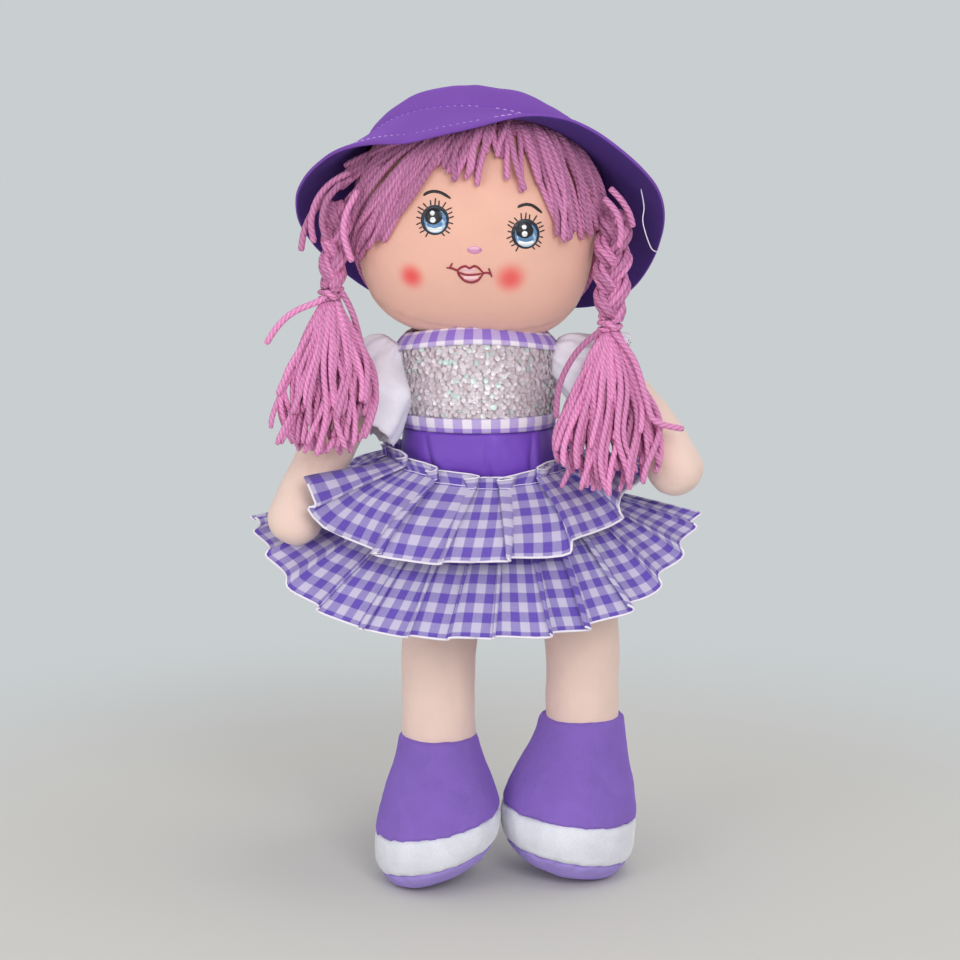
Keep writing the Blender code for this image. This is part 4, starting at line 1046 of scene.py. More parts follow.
def combed_path(tree, side, start, back, layer, chance):
    """A strand's path from the parting to a plait; back is how far along the parting it starts."""
    gather = PLAIT_TOP[side] - HEAD_CENTRE
    first = (start + Vector((SIGN[side] * (0.02 + 0.03 * layer), 0, 0))).normalized()
    aim = gather + Vector((0, 0.012 * back - 0.002, -0.006 * back + 0.004 + chance.gauss(0, 0.0012)))
    last = aim.normalized()
    dip = -CAP_DIP * sin(pi * back) ** 2 - NAPE_DIP * max(0, back - NAPE_START)
    path = []
    for step in range(CAP_STEPS + 1):
        part = step / CAP_STEPS
        heading = first.lerp(last, part) + UP * (dip * sin(pi * part) * 0.9)
        spot, normal, *_ = tree.find_nearest(HEAD_CENTRE + heading.normalized() * 0.07)
        lift = CAP_LIFT + CAP_LAYER * layer + chance.uniform(0, 0.0002)
        path.append(spot + normal * (lift - HAT_PRESS * under_hat(spot)))
    path[-1] = path[-1].lerp(PLAIT_TOP[side], 0.7)
    return evened(path, 3)


def cap_strands(tree, side, chance):
    """The yarn combed from the parting round the head into the top of a plait."""
    found = []
    for step, start in enumerate(curve_through(PARTING, CAP_STARTS)):
        for layer in range(CAP_LAYERS):
            path = combed_path(tree, side, start, step / (CAP_STARTS - 1), layer, chance)
            radius = sizes().yarn_radius * chance.uniform(*CAP_YARN_SHARES)
            found.append((path, radius, chance.uniform(*CAP_TONES)))
    return found


# Loose strands that leave the fringe and the hat, as picture points with a depth in metres
LOOSE_STRANDS = (
    ((352, 178, -0.020), (332, 192, -0.018), (313, 212, -0.018), (304, 232, -0.020), (301, 251, -0.022)),
    ((610, 188, -0.026), (621, 200, -0.026), (629, 213, -0.025), (633, 227, -0.024)),
    ((604, 198, -0.028), (616, 212, -0.030), (621, 230, -0.031), (619, 248, -0.032)),
    ((358, 190, -0.030), (346, 214, -0.032), (344, 236, -0.033), (352, 262, -0.033)),
    ((350, 172, -0.022), (331, 183, -0.022), (317, 200, -0.023), (311, 222, -0.024), (314, 243, -0.024)),
    ((342, 182, -0.024), (327, 200, -0.026), (322, 222, -0.026), (327, 240, -0.026)),
)
LOOSE_STEPS = 20


class DOLL_OT_hair(bpy.types.Operator):
    """Yarn combed over the head, and the fringe that fans out from under the brim"""

    bl_idname = "doll.hair"
    bl_label = "Hair"

    def execute(self, context):
        chance = random.Random(11)
        tree = surface_of(bpy.data.objects["head_cotton"])
        yarn = spun_yarn("acrylic_yarn", colours().yarn, sizes().yarn_ply)
        combed = [strand for side in SIDES for strand in cap_strands(tree, side, chance)]
        cap = strand_piece("combed_yarn", combed)
        fringe = strand_piece("fringe_yarn", fringe_strands(tree, chance))
        loose = [(curve_through([on_plane(*point) for point in points], LOOSE_STEPS), sizes().yarn_radius,
                  chance.random()) for points in LOOSE_STRANDS]
        strays = strand_piece("loose_yarn", loose)
        for piece, node in ((cap, "hair_cap"), (fringe, "fringe"), (strays, None)):
            piece.data.materials.append(yarn)
            place_on(piece, "head", "yarn", *([node] if node else []))
        return {"FINISHED"}


# Plaits


# each plait is three bundles of thin yarns that cross over each other, swinging out and in
PLAIT_TURN = 0.040
PLAIT_STEPS = 40
BUNDLES = 3
BUNDLE_YARNS = 6
BUNDLE_WIDE = {"right": 0.0042, "left": 0.0055}
BUNDLE_DEEP = 0.0026
BUNDLE_SPREAD_SHARE = 0.0024 / 0.0042
BUNDLE_YARN_SHARES = (0.88, 1.0)
BUNDLE_TONES = (0, 0.7)


def plaited_path(side, bundle, seat, apart):
    """A yarn's path in a bundle: seat is its angle round the bundle's middle, and apart how far off."""
    top, end = PLAIT_TOP[side], PLAIT_END[side]
    length = (end - top).length
    down = (end - top).normalized()
    across = (ACROSS - down * ACROSS.dot(down)).normalized()
    front = across.cross(down)
    path = []
    for step in range(PLAIT_STEPS + 1):
        share = step / PLAIT_STEPS
        turn = 2 * pi * (length * share / PLAIT_TURN + bundle / BUNDLES)
        narrow = 1 - 0.45 * share**6 - 0.25 * (1 - share) ** 5
        ahead = cos(turn)
        roll = seat + 0.9 * ahead
        wide = (sin(turn) * BUNDLE_WIDE[side] + cos(roll) * apart) * narrow
        deep = (sin(2 * turn) * BUNDLE_DEEP + sin(roll) * apart) * narrow
        along = length * share + sin(roll) * apart * 0.35 * ahead
        path.append(top + down * along + across * wide + front * deep)
    return path


def plait_bundles(side, chance):
    """The thin yarns in the bundles that cross over each other down a plait."""
    found = []
    for bundle in range(BUNDLES):
        for yarn in range(BUNDLE_YARNS):
            seat = 2 * pi * yarn / (BUNDLE_YARNS - 1)
            apart = BUNDLE_SPREAD_SHARE * BUNDLE_WIDE[side] if yarn < BUNDLE_YARNS - 1 else 0
            tone = chance.uniform(*BUNDLE_TONES)
            radius = sizes().yarn_radius * chance.uniform(*BUNDLE_YARN_SHARES)
            found.append((plaited_path(side, bundle, seat, apart), radius, tone))
    return found


# a tie: three wraps of thinner yarn below the plait's end, and its knot in front
TIE_DROP = 0.0022
TIE_WRAPS = 3
TIE_PITCH = 0.0017
TIE_TILT = 0.0008
TIE_RADIUS = 0.0052
TIE_STEPS = 30
TIE_YARN = 0.0012
KNOT_YARN = 0.0014
KNOT = ((-0.0024, -0.0058, 0.0014), (-0.0004, -0.0074, 0.0008), (0.0012, -0.0076, -0.0006),
        (0.0026, -0.0060, -0.0016))
KNOT_STEPS = 9


def tie_strands(side, chance):
    """The yarn wrapped round the end of a plait, with its knot."""
    centre = PLAIT_END[side] - UP * TIE_DROP
    found = []
    for wrap in range(TIE_WRAPS):
        level = (wrap - 1) * TIE_PITCH
        tilt = TIE_TILT * (-1) ** wrap
        path = []
        for step in range(TIE_STEPS + 1):
            turn = 2 * pi * step / TIE_STEPS
            reach = TIE_RADIUS + 0.0004 * sin(3 * turn + wrap)
            path.append(centre + Vector((sin(turn) * reach, -cos(turn) * reach, level + tilt * sin(turn))))
        found.append((path, TIE_YARN, chance.random()))
    knot = [centre + Vector(spot) for spot in KNOT]
    found.append((curve_through(knot, KNOT_STEPS), KNOT_YARN, chance.random()))
    return found


# Strands that fly free of a tassel, from the tie, as picture points with a depth in metres
STRAY_STRANDS = {
    "right": (
        ((336, 291, -0.030), (319, 301, -0.030), (294, 312, -0.031), (278, 326, -0.032), (266, 344, -0.033)),
        ((341, 291, -0.028), (352, 312, -0.026), (361, 345, -0.028), (366, 384, -0.034)),
    ),
    "left": (
        ((612, 330, -0.030), (634, 360, -0.036), (646, 398, -0.044), (655, 421, -0.048), (684, 429, -0.050)),
        ((600, 331, -0.030), (577, 352, -0.030), (560, 384, -0.036), (556, 418, -0.042)),
    ),
}
STRAY_STEPS = 22
STRAY_YARN_SHARE = 0.95
# a tassel's cut strands: below the tie, of uneven length, waved, and spread evenly by the golden angle
TASSEL_DROP = 0.0042
TASSEL_STEPS = 26
TASSEL_LENGTH_SHARES = (0.74, 0.86, 0.95, 1.0)
TASSEL_WAVES = (0.0016, 0.0060)
TASSEL_YARN_SHARES = (0.78, 0.96)
# tassel strands take only the lighter tones of the yarn: painted light on the tassels
TASSEL_LIT_TONES = (0.45, 1)
GOLDEN_ANGLE = 2.39996


def tassel_path(side, out, length, wave, phase, radius):
    """The path of a cut strand: out is its seat in the tassel, and length its share of the tassel's."""
    top, end = PLAIT_END[side] - UP * TASSEL_DROP, TASSEL_END[side]
    path = []
    for step in range(TASSEL_STEPS + 1):
        share = step / TASSEL_STEPS * length
        open_wide = 0.15 + 0.85 * sin(min(1, share * 1.55) * pi / 2) ** 1.3
        spot = top.lerp(end, share)
        spot.y = mix(top.y, end.y, share**1.25)
        spot.x += out.x * (TASSEL_HALF.x - radius) * open_wide + wave * share * sin(phase + 9 * share)
        spot.y += out.y * (TASSEL_HALF.y - radius) * open_wide + wave * share * cos(phase + 7 * share)
        path.append(spot)
    return path


def tassel_strands(side, chance):
    """The cut yarn that hangs from a tie, spread wide and a little waved, with its strays."""
    count = sizes().tassel_strands
    found = []
    for strand in range(count):
        turn = GOLDEN_ANGLE * strand
        out = Vector((cos(turn), sin(turn), 0)) * sqrt((strand + 0.5) / count)
        length = chance.choice(TASSEL_LENGTH_SHARES) - chance.uniform(0, 0.09) - 0.08 * out.x**2
        wave, phase = chance.uniform(*TASSEL_WAVES), chance.uniform(0, 2 * pi)
        radius = sizes().yarn_radius * chance.uniform(*TASSEL_YARN_SHARES)
        path = tassel_path(side, out, length, wave, phase, radius)
        found.append((path, radius, chance.uniform(*TASSEL_LIT_TONES)))
    for points in STRAY_STRANDS[side]:
        path = curve_through([on_plane(*point) for point in points], STRAY_STEPS)
        found.append((path, sizes().yarn_radius * STRAY_YARN_SHARE, chance.random()))
    return found


class DOLL_OT_plaits(bpy.types.Operator):
    """Two plaits with their ties and tassels"""

    bl_idname = "doll.plaits"
    bl_label = "Plaits"

    def execute(self, context):
        yarn = bpy.data.materials["acrylic_yarn"]
        for side in SIDES:
            chance = random.Random(31 + SIGN[side])
            for name, node, strands in (
                ("plaited_yarn", "plait", plait_bundles(side, chance)),
                ("tie_yarn", "plait_tie", tie_strands(side, chance)),
                ("tassel_yarn", "tassel", tassel_strands(side, chance)),
            ):
                piece = strand_piece(f"{name}_{side}", strands)
                piece.data.materials.append(yarn)
                place_on(piece, f"plait_{side}", "yarn", f"{node}_{side}")
        return {"FINISHED"}


# Hat


def hat_point(around, reach, height):
    """A point by the hat's own axis, in the doll's place."""
    axis = Vector((0, sin(HAT_TILT), cos(HAT_TILT)))
    ahead = Vector((0, -cos(HAT_TILT), sin(HAT_TILT)))
    spot = HAT_MIDDLE + ACROSS * ((CROWN_HALF_WIDTH + reach) * sin(around))
    spot += ahead * ((CROWN_HALF_DEPTH + reach) * cos(around)) + axis * height
    return head_frame(HAT_CENTRE, HAT_LEAN) @ spot


def brim_spot(around, share):
    """A point on the brim, from its seam to its edge, with the waves of soft cloth."""
    side = abs(((around + pi) % (2 * pi)) - pi) / pi
    reach, fall = read_list(BRIM_REACH, side), read_list(BRIM_FALL, side)
    ahead = sin(2 * around) if cos(around) > 0 else 0
    drop = fall * share * (1 + 0.25 * (1 - share)) - BRIM_LEAN * ahead * share
    reach += BRIM_SPREAD * max(0, ahead)
    right = max(0, -sin(around))
    reach -= BRIM_TUCK * right
    drop += BRIM_SAG * right * max(0, -cos(around)) * share
    wave = BRIM_WAVE * sin(BRIM_WAVES * around) * share**2
    crumple = BRIM_LUMP * wobble((sin(around), cos(around), share * 0.6), 0.28, 3) * share
    return hat_point(around, reach * share, -drop + wave + crumple)


# the crown's soft lumps, broad and fine: height, size and seed; and those of the brim
CROWN_LUMPS = ((0.0016, 0.35, 1), (0.0008, 0.12, 2))
BRIM_LUMP = 0.0011


def crown_spot(around, level):
    """A point on the crown, from its seam at 0 to its top at 1, with soft creases."""
    turn = level * pi / 2
    share = cos(turn) ** 0.8
    place = (sin(around) * share, cos(around) * share, level)
    crumple = sum(depth * wobble(place, scale, seed) for depth, scale, seed in CROWN_LUMPS)
    sewn = 1 - smooth_step(level * 6)
    crumple = crumple * (1 - sewn) - SEAM_LAP * sewn
    spot = hat_point(around, 0, 0)
    top = hat_point(0, -CROWN_HALF_DEPTH, 0)
    axis = (hat_point(0, 0, 1) - hat_point(0, 0, 0)).normalized()
    return top + (spot - top) * share + axis * (CROWN_HEIGHT * sin(turn) + crumple)


HAT_STEPS = 120
CROWN_LEVELS = 18
BRIM_LEVELS = 12
CROWN_WALL = 0.0018
BRIM_WALL = 0.0022
# how far apart the rows and columns of points are in the cloth
HAT_WEAVE = {"crown": (0.003, 0.003), "brim": (0.0035, 0.0025)}


def hat_sheet(name, rows, wall):
    """The crown or the brim, with its thickness, its lining on the inside and soft edges. The lining is the
    same twill in a darker purple: painted shade.
    """
    wide, high = HAT_WEAVE[name]
    coords = [[(step * wide, level * high) for step in range(HAT_STEPS + 1)] for level in range(len(rows))]
    sheet = grid_piece(f"hat_{name}_cotton", rows, coords, closed=True)
    thicken(sheet, wall)
    # the inner side takes the darker lining twill, painted shade inside the hat
    sheet.modifiers["cloth"].material_offset = 1
    round_off(sheet)
    sheet.data.materials.append(bpy.data.materials["brushed_cotton_twill_hat"])
    sheet.data.materials.append(bpy.data.materials["brushed_cotton_twill_shaded_lining"])
    place_on(sheet, "head", "hat_cotton", f"hat_{name}")


# rows of topstitching: how far out on the brim, and the thread's radius
STITCH_ROWS = ((0.06, 0.0005), (0.80, 0.0006))
STITCH_LIFT = 0.0014
STITCH_END_SHARE = 0.4
RING_STEPS = 1200
RING_END = 1180
HAT_THREAD = "#C4ABE2"
LOOSE_THREAD = "#E8E4EE"
LOOSE_THREAD_RADIUS = 0.00025
# the thread end on the brim, as picture points with a depth in metres
LOOSE_THREAD_PATH = ((641, 189, -0.030), (644, 207, -0.036), (643, 223, -0.040), (650.6, 247, -0.040),
                     (657, 252, -0.038))


def stitch_row(share, radius, chance):
    """Topstitches round the brim, each measured along it, with a short gap before the next."""
    turns = [2 * pi * step / RING_STEPS for step in range(RING_STEPS)]
    ring = [brim_spot(turn, share) for turn in turns]
    lift = (hat_point(0, 0, 1) - hat_point(0, 0, 0)).normalized() * STITCH_LIFT
    found, place = [], 0
    while place < RING_END:
        ahead, run = place, 0
        while run < sizes().stitch and ahead < RING_END + 10:
            run += (ring[ahead + 1] - ring[ahead]).length
            ahead += 1
        low = lift * STITCH_END_SHARE
        path = [ring[place] + low, ring[(place + ahead) // 2] + lift, ring[ahead] + low]
        found.append((curve_through(path, 5), radius, chance.random()))
        place = ahead + max(1, (ahead - place) // 4)
    return found


class DOLL_OT_hat(bpy.types.Operator):
    """Soft hat with a wavy brim, its seam and its topstitching"""

    bl_idname = "doll.hat"
    bl_label = "Hat"

    def execute(self, context):
        brushed_twill("brushed_cotton_twill_hat", colours().hat)
        # the lining is a darker copy of the hat's twill: painted shade
        brushed_twill("brushed_cotton_twill_shaded_lining", colours().hat_lining_shade)
        turns = [2 * pi * step / HAT_STEPS for step in range(HAT_STEPS)]
        crown = [[crown_spot(turn, level / CROWN_LEVELS) for turn in turns] for level in range(CROWN_LEVELS)]
        top = crown_spot(0, 1)
        last = crown[-1]
        crown += [[top.lerp(point, near) for point in last] for near in (0.4, 0.02)]
        hat_sheet("crown", crown, CROWN_WALL)
        shares = [1 - level / BRIM_LEVELS for level in range(BRIM_LEVELS + 1)]
        brim = [[brim_spot(turn, share) for turn in turns] for share in shares]
        hat_sheet("brim", brim, BRIM_WALL)
        self.add_thread()
        return {"FINISHED"}

    def add_thread(self):
        """Topstitching on the crown's seam and near the brim's edge, and a thread that has come loose."""
        chance = random.Random(3)
        rows = [stitch for share, radius in STITCH_ROWS for stitch in stitch_row(share, radius, chance)]
        loose = curve_through([on_plane(*point) for point in LOOSE_THREAD_PATH], 24)
        lilac = cotton_thread("cotton_thread_hat", HAT_THREAD)
        white = cotton_thread("cotton_thread_white", LOOSE_THREAD)
        for name, strands, thread in (
            ("hat_stitches", rows, lilac),
            ("loose_thread", [(loose, LOOSE_THREAD_RADIUS, 0.5)], white),
        ):
            piece = strand_piece(name, strands, sides=5)
            piece.data.materials.append(thread)
            place_on(piece, "head", "hat_cotton")


# Body and boots

# per stuffed piece: how finely it is remeshed, and how far it swells past its CAD node
BODY_SKIN = {"torso": (0.0032, 0), "neck": (0.0022, 0), "arm": (0.0020, 0.0008), "leg": (0.0024, 0.0005)}
BOOT_VOXELS = {"sole": 0.0019, "band": 0.0019, "upper": 0.0014}
BOOT_SWELL = 0.0007
# size and depth of the wrinkles, and how much smaller and shallower the fine ones between them are
BODY_WRINKLES = (0.013, 0.0006)
BOOT_WRINKLES = (0.011, 0.0005)
FINE_SIZE_SHARE = 1 / 2.7
FINE_DEPTH_SHARE = 0.4
# how high the boots' bands and uppers keep off the floor
BAND_CLEARANCE = 0.0005


def finish_stuffed(piece, cloth, body, slot, node):
    """Rounds off a stuffed piece, covers it and puts it on its body in the place of its node."""
    round_off(piece)
    piece.data.materials.append(cloth)
    place_on(piece, body, slot, node)


def soft_wrinkles(size, depth, seed):
    """A push along the normal, with lumps of one size and finer ones."""
    def move(point, normal):
        fine = wobble(point, size * FINE_SIZE_SHARE, seed + 5)
        return normal * (depth * (wobble(point, size, seed) + FINE_DEPTH_SHARE * fine))
    return move


class DOLL_OT_body(bpy.types.Operator):
    """Stuffed body, neck, arms and legs"""

    bl_idname = "doll.body"
    bl_label = "Body"

    def execute(self, context):
        cotton = jersey("brushed_cotton_jersey_limbs", colours().limb_cotton)
        for seed, node in enumerate(("torso", "neck", "arm_right", "leg_right", "arm_left", "leg_left")):
            piece = stuffed_copy(node, "cotton", *BODY_SKIN[node.split("_")[0]])
            push_points(piece, soft_wrinkles(*BODY_WRINKLES, seed))
            finish_stuffed(piece, cotton, node, "cotton_limb", node)
        return {"FINISHED"}


class DOLL_OT_boots(bpy.types.Operator):
    """Plush boots, each of a sole, a pale side band and an upper"""

    bl_idname = "doll.boots"
    bl_label = "Boots"

    def execute(self, context):
        tiers = (
            # the soles take the lighter copy of the purple plush: painted light
            ("sole", plush("short_pile_plush_lit_sole", colours().sole_plush_lit), "plush_purple"),
            ("band", plush("short_pile_plush_white", colours().plush_white), "plush_white"),
            ("upper", plush("short_pile_plush", colours().plush), "plush_purple"),
        )
        for side in SIDES:
            for tier, cloth, slot in tiers:
                node = f"boot_{tier}_{side}"
                inside = f"leg_{side}" if tier == "upper" else None
                piece = stuffed_copy(node, "plush", BOOT_VOXELS[tier], BOOT_SWELL, inside)
                push_points(piece, soft_wrinkles(*BOOT_WRINKLES, 3))
                self.rest_on_floor(piece, 0 if tier == "sole" else BAND_CLEARANCE)
                finish_stuffed(piece, cloth, f"leg_{side}", slot, node)
        return {"FINISHED"}

    def rest_on_floor(self, piece, height):
        """Presses what is under the floor flat, at a height over it."""
        if min(vert.co.z for vert in piece.data.vertices) < 0:
            push_points(piece, lambda point, normal: UP * max(0, height - point.z))


# Dress


def dress_ring(z, turn, offset):
    """A point off the torso's outline, from the middle front at 0 round to the doll's left."""
    level = min(TORSO_SHARES[-1][0], max(0, (z - TORSO_FOOT_Z) / (TORSO_TOP_Z - TORSO_FOOT_Z)))
    after = next(step for step, row in enumerate(TORSO_SHARES) if step and row[0] >= level)
    low, high = TORSO_SHARES[after - 1], TORSO_SHARES[after]
    part = (level - low[0]) / (high[0] - low[0])
    wide, deep, lean = (mix(low[place], high[place], part) for place in (1, 2, 3))
    centre = Vector((CHEST_X + (PELVIS_X - CHEST_X) * lean, 0, z))
    across = ACROSS * ((TORSO_HALF_WIDTH * wide + offset) * sin(turn))
    return centre + across - BACK * ((TORSO_HALF_DEPTH * deep + offset) * cos(turn))


# The neckline ribbon: its foot in front, its height, how far it is gathered in, and how much lower its
# sides lie
NECKLINE_FOOT = 0.2739
NECKLINE_HEIGHT = 0.0086
NECKLINE_DRAWN = 0.0055
NECKLINE_DIP = 0.006


def drawn_in(z):
    """How far the neckline is gathered in towards the neck at a height."""
    return NECKLINE_DRAWN * max(0, (z - NECKLINE_FOOT) / NECKLINE_HEIGHT) ** 1.4


def band_rows(low, high, offset, levels, steps, dip, ripple):
    """Rows of a band round the dress, with the cloth's own place of each point.

    Ripple gives how far a point stands off the band's offset, at a turn and a share of the height.
    """
    turns = [2 * pi * step / steps - pi for step in range(steps + 1)]
    middle = [dress_ring(mix(low, high, 0.5), turn, offset) for turn in turns]
    runs = [0]
    for before, after in zip(middle, middle[1:]):
        runs.append(runs[-1] + (after - before).length)
    rows, coords = [], []
    for level in range(levels + 1):
        share = level / levels
        row = []
        for turn in turns[:-1]:
            z = mix(low, high - dip * sin(turn) ** 2, share)
            row.append(dress_ring(z, turn, offset + ripple(turn, share)))
        rows.append(row)
        coords.append([(along, (high - low) * share) for along in runs])
    return rows, coords


def cloth_band(name, material, node, slot, rows, coords, wall):
    """A band of cloth sewn round the body."""
    band = grid_piece(name, rows, coords, closed=True)
    thicken(band, wall)
    band.data.materials.append(material)
    place_on(band, "torso", slot, node)


TULLE = "#E0CCD0"
BODICE_OFFSET = 0.0012
BODICE_WALL = 0.0008
BODICE_LEVELS = 24
BODICE_STEPS = 96
# sequins lie in overlapping rows: the share of a sequin from one to the next, and the bodice's radius
SEQUIN_PITCH_SHARE = 0.80
SEQUIN_RING = 0.034
SEQUIN_OFFSET = 0.0022
SEQUIN_CORNERS = 9
SEQUIN_CUP = 0.00018
SEQUIN_SIZE_SHARES = (0.85, 1.08)
# what the rows of sequins keep from the bodice's foot and top
SEQUIN_FOOT_GAP, SEQUIN_TOP_GAP = 0.0015, 0.0005


def sequin_spots(chance):
    """Places, directions and tones of the sequins sewn over the bodice in uneven rows."""
    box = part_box("bodice")
    low, high = box[0][2] + SEQUIN_FOOT_GAP, box[1][2] - SEQUIN_TOP_GAP
    pitch = sizes().sequin * SEQUIN_PITCH_SHARE
    count = int(2 * pi * SEQUIN_RING / pitch)
    found = []
    for row in range(int((high - low) / (pitch * SEQUIN_PITCH_SHARE))):
        for step in range(count):
            turn = 2 * pi * (step + 0.5 * (row % 2)) / count + chance.gauss(0, 0.018)
            level = low + row * pitch * SEQUIN_PITCH_SHARE + chance.gauss(0, 0.0003)
            if level > NECKLINE_FOOT + SEQUIN_FOOT_GAP - NECKLINE_DIP * sin(turn) ** 2:
                continue
            spot = dress_ring(level, turn, SEQUIN_OFFSET + chance.uniform(0, 0.0008))
            sway = Vector((chance.gauss(0, 0.10), chance.gauss(0, 0.10), chance.gauss(0.05, 0.12)))
            facing = (Vector((sin(turn), -cos(turn), 0)) + sway).normalized()
            found.append((spot, facing, chance.random()))
    return found


def sequin_disc(spot, facing, radius, first):
    """Points, faces and UVs of a sequin, a shallow cup of triangles; first is its first point's number."""
    aside = facing.cross(UP).normalized()
    above = aside.cross(facing)
    verts, faces = [spot - facing * SEQUIN_CUP], []
    for corner in range(SEQUIN_CORNERS):
        turn = 2 * pi * corner / SEQUIN_CORNERS
        verts.append(spot + (aside * cos(turn) + above * sin(turn)) * radius)
        faces.append((first, first + 1 + corner, first + 1 + (corner + 1) % SEQUIN_CORNERS))
    return verts, faces, [(0, 0), (0, radius), (radius, radius)] * SEQUIN_CORNERS


class DOLL_OT_bodice(bpy.types.Operator):
    """Tulle bodice sewn all over with sequins"""

    bl_idname = "doll.bodice"
    bl_label = "Bodice"

    def execute(self, context):
        low, high = (corner[2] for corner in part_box("bodice"))
        rows, coords = band_rows(low, high, BODICE_OFFSET, BODICE_LEVELS, BODICE_STEPS, NECKLINE_DIP,
                                 lambda turn, share: -drawn_in(mix(low, high, share)))
        tulle = fine_cloth("nylon_tulle_bodice", linear_colour(TULLE), 0.75, 0.6)
        cloth_band("bodice_tulle", tulle, "bodice", "sequin_tulle", rows, coords, BODICE_WALL)
        self.add_sequins(random.Random(5))
        return {"FINISHED"}

    def add_sequins(self, chance):
        verts, faces, uvs, tones = [], [], [], []
        for spot, facing, tone in sequin_spots(chance):
            radius = sizes().sequin / 2 * chance.uniform(*SEQUIN_SIZE_SHARES)
            points, parts, places = sequin_disc(spot, facing, radius, len(verts))
            verts += points
            faces += parts
            uvs += places
            tones += [tone] * len(points)
        sequins = make_piece("sequins", verts, faces, uvs, tones, smooth=False)
        sequins.data.materials.append(sequin_film("iridescent_film"))
        place_on(sequins, "torso", "sequin_tulle")


RIBBON_DYED = "#8E6CCB"
RIBBON_PALE = "#EEE4F0"
RIBBON_OFFSET = 0.0030
RIBBON_WALL = 0.0009
RIBBON_LEVELS = 8
RIBBON_STEPS = 120
# how far a ribbon bulges between its seams, and its slight waves
RIBBON_BULGE = 0.0005
RIBBON_WAVE = 0.0004


class DOLL_OT_ribbons(bpy.types.Operator):
    """Gingham ribbons at the neckline and the waist"""

    bl_idname = "doll.ribbons"
    bl_label = "Ribbons"

    def execute(self, context):
        cloth = gingham_cotton("gingham_ribbon", sizes().ribbon_check, linear_colour(RIBBON_DYED),
                               linear_colour(RIBBON_PALE))
        self.add_ribbon(cloth, "neckline_ribbon", NECKLINE_DIP, NECKLINE_DRAWN, 0, 1)
        self.add_ribbon(cloth, "waist_ribbon", 0, 0, sizes().ribbon_check, 2)
        return {"FINISHED"}

    def add_ribbon(self, cloth, node, dip, drawn, shift, seed):
        """A ribbon whose sides lie lower by dip, gathered in at its top; shift moves its checks up."""
        def ripple(turn, share):
            wave = wobble((sin(turn), cos(turn), share * 0.3), 0.3, seed)
            return RIBBON_WAVE * wave + RIBBON_BULGE * sin(pi * share) - drawn * share**1.4

        low, high = (corner[2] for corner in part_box(node))
        rows, coords = band_rows(low + dip, high, RIBBON_OFFSET, RIBBON_LEVELS, RIBBON_STEPS, 0, ripple)
        drops = [UP * (dip * sin(2 * pi * step / RIBBON_STEPS) ** 2) for step in range(RIBBON_STEPS)]
        rows = [[point - drop for point, drop in zip(row, drops)] for row in rows]
        coords = [[(along, up + shift) for along, up in places] for places in coords]
        cloth_band(f"{node}_gingham", cloth, node, "ribbon", rows, coords, RIBBON_WALL)


# Sleeves: radius over the arm, and how far each reaches over the shoulder and out along the arm
SLEEVE_ROUND = 0.0142
SLEEVE_START = -0.0115
SLEEVE_LENGTH = {"right": 0.030, "left": 0.022}
# how far the frill laps over the front of the bodice, and where round the arm
SLEEVE_LAP = {"right": 0.0135, "left": 0.003}
LAP_TURN = radians(-130)
SLEEVE_FLARE = 0.0070
SLEEVE_FRILLS = 11
# depth of the frills at the shoulder, what they gain towards the edge, and how uneven the cloth and edge are
FRILL_DEPTH, FRILL_GAIN = 0.0004, 0.0017
SLEEVE_ROUGH = 0.0007
SLEEVE_RAGGED = 0.0012
SLEEVE_LEVELS = 22
SLEEVE_STEPS = 144
# mean radius, which the cloth's own places are measured at
SLEEVE_MEAN = 0.019
SLEEVE_WALL = 0.0006
# the sleeves' white lawn
LAWN = "#E6E3EE"
# two places along the arm from the shoulder; the points found there are not used
SLEEVE_BLEND = (-0.012, 0.016)


def sleeve_reach(side, turn, share, ahead):
    """How far a point of a sleeve is from the arm's axis, at a turn round it and a place along it."""
    shoulder_round = sqrt(max(0.04, 1 - min(0, ahead / 0.0135) ** 2))
    spread = smooth_step((ahead + 0.002) / SLEEVE_LENGTH[side])
    lap = SLEEVE_LAP[side] * smooth_step((ahead + 0.006) / 0.014)
    frill = sin(SLEEVE_FRILLS * turn + 1.2 * sin(2 * turn)) * (FRILL_DEPTH + FRILL_GAIN * spread)
    rough = SLEEVE_ROUGH * wobble((sin(turn) * 2, cos(turn) * 2, share * 3), 0.4, 9)
    reach = SLEEVE_ROUND * shoulder_round + SLEEVE_FLARE * spread + frill + rough
    return reach + lap * max(0, cos(turn - LAP_TURN)) ** 3


def sleeve_axes(side):
    """The shoulder, and the directions along the arm, aside from it and behind it."""
    shoulder, bend = ARM_PATH[side]
    along = (bend - shoulder).normalized()
    return shoulder, along, BACK.cross(along).normalized() * -SIGN[side], BACK - along * along.y


def sleeve_rows(side):
    """Rows of a gathered cap sleeve, from over the shoulder out to its frilled edge."""
    shoulder, along, aside, behind = sleeve_axes(side)
    turns = [2 * pi * step / SLEEVE_STEPS for step in range(SLEEVE_STEPS + 1)]
    rows, coords = [], []
    for level in range(SLEEVE_LEVELS + 1):
        share = level / SLEEVE_LEVELS
        ahead = mix(SLEEVE_START, SLEEVE_LENGTH[side], share)
        row = []
        for turn in turns[:-1]:
            reach = sleeve_reach(side, turn, share, ahead)
            ragged = SLEEVE_RAGGED * wobble((sin(turn) * 6, cos(turn) * 6, 0), 0.5, 4) * share**6
            out = aside * cos(turn) + behind * sin(turn)
            row.append(shoulder + along * (ahead + ragged) + out * reach)
        rows.append(row)
        coords.append([(turn * SLEEVE_MEAN, ahead) for turn in turns])
    return rows, coords


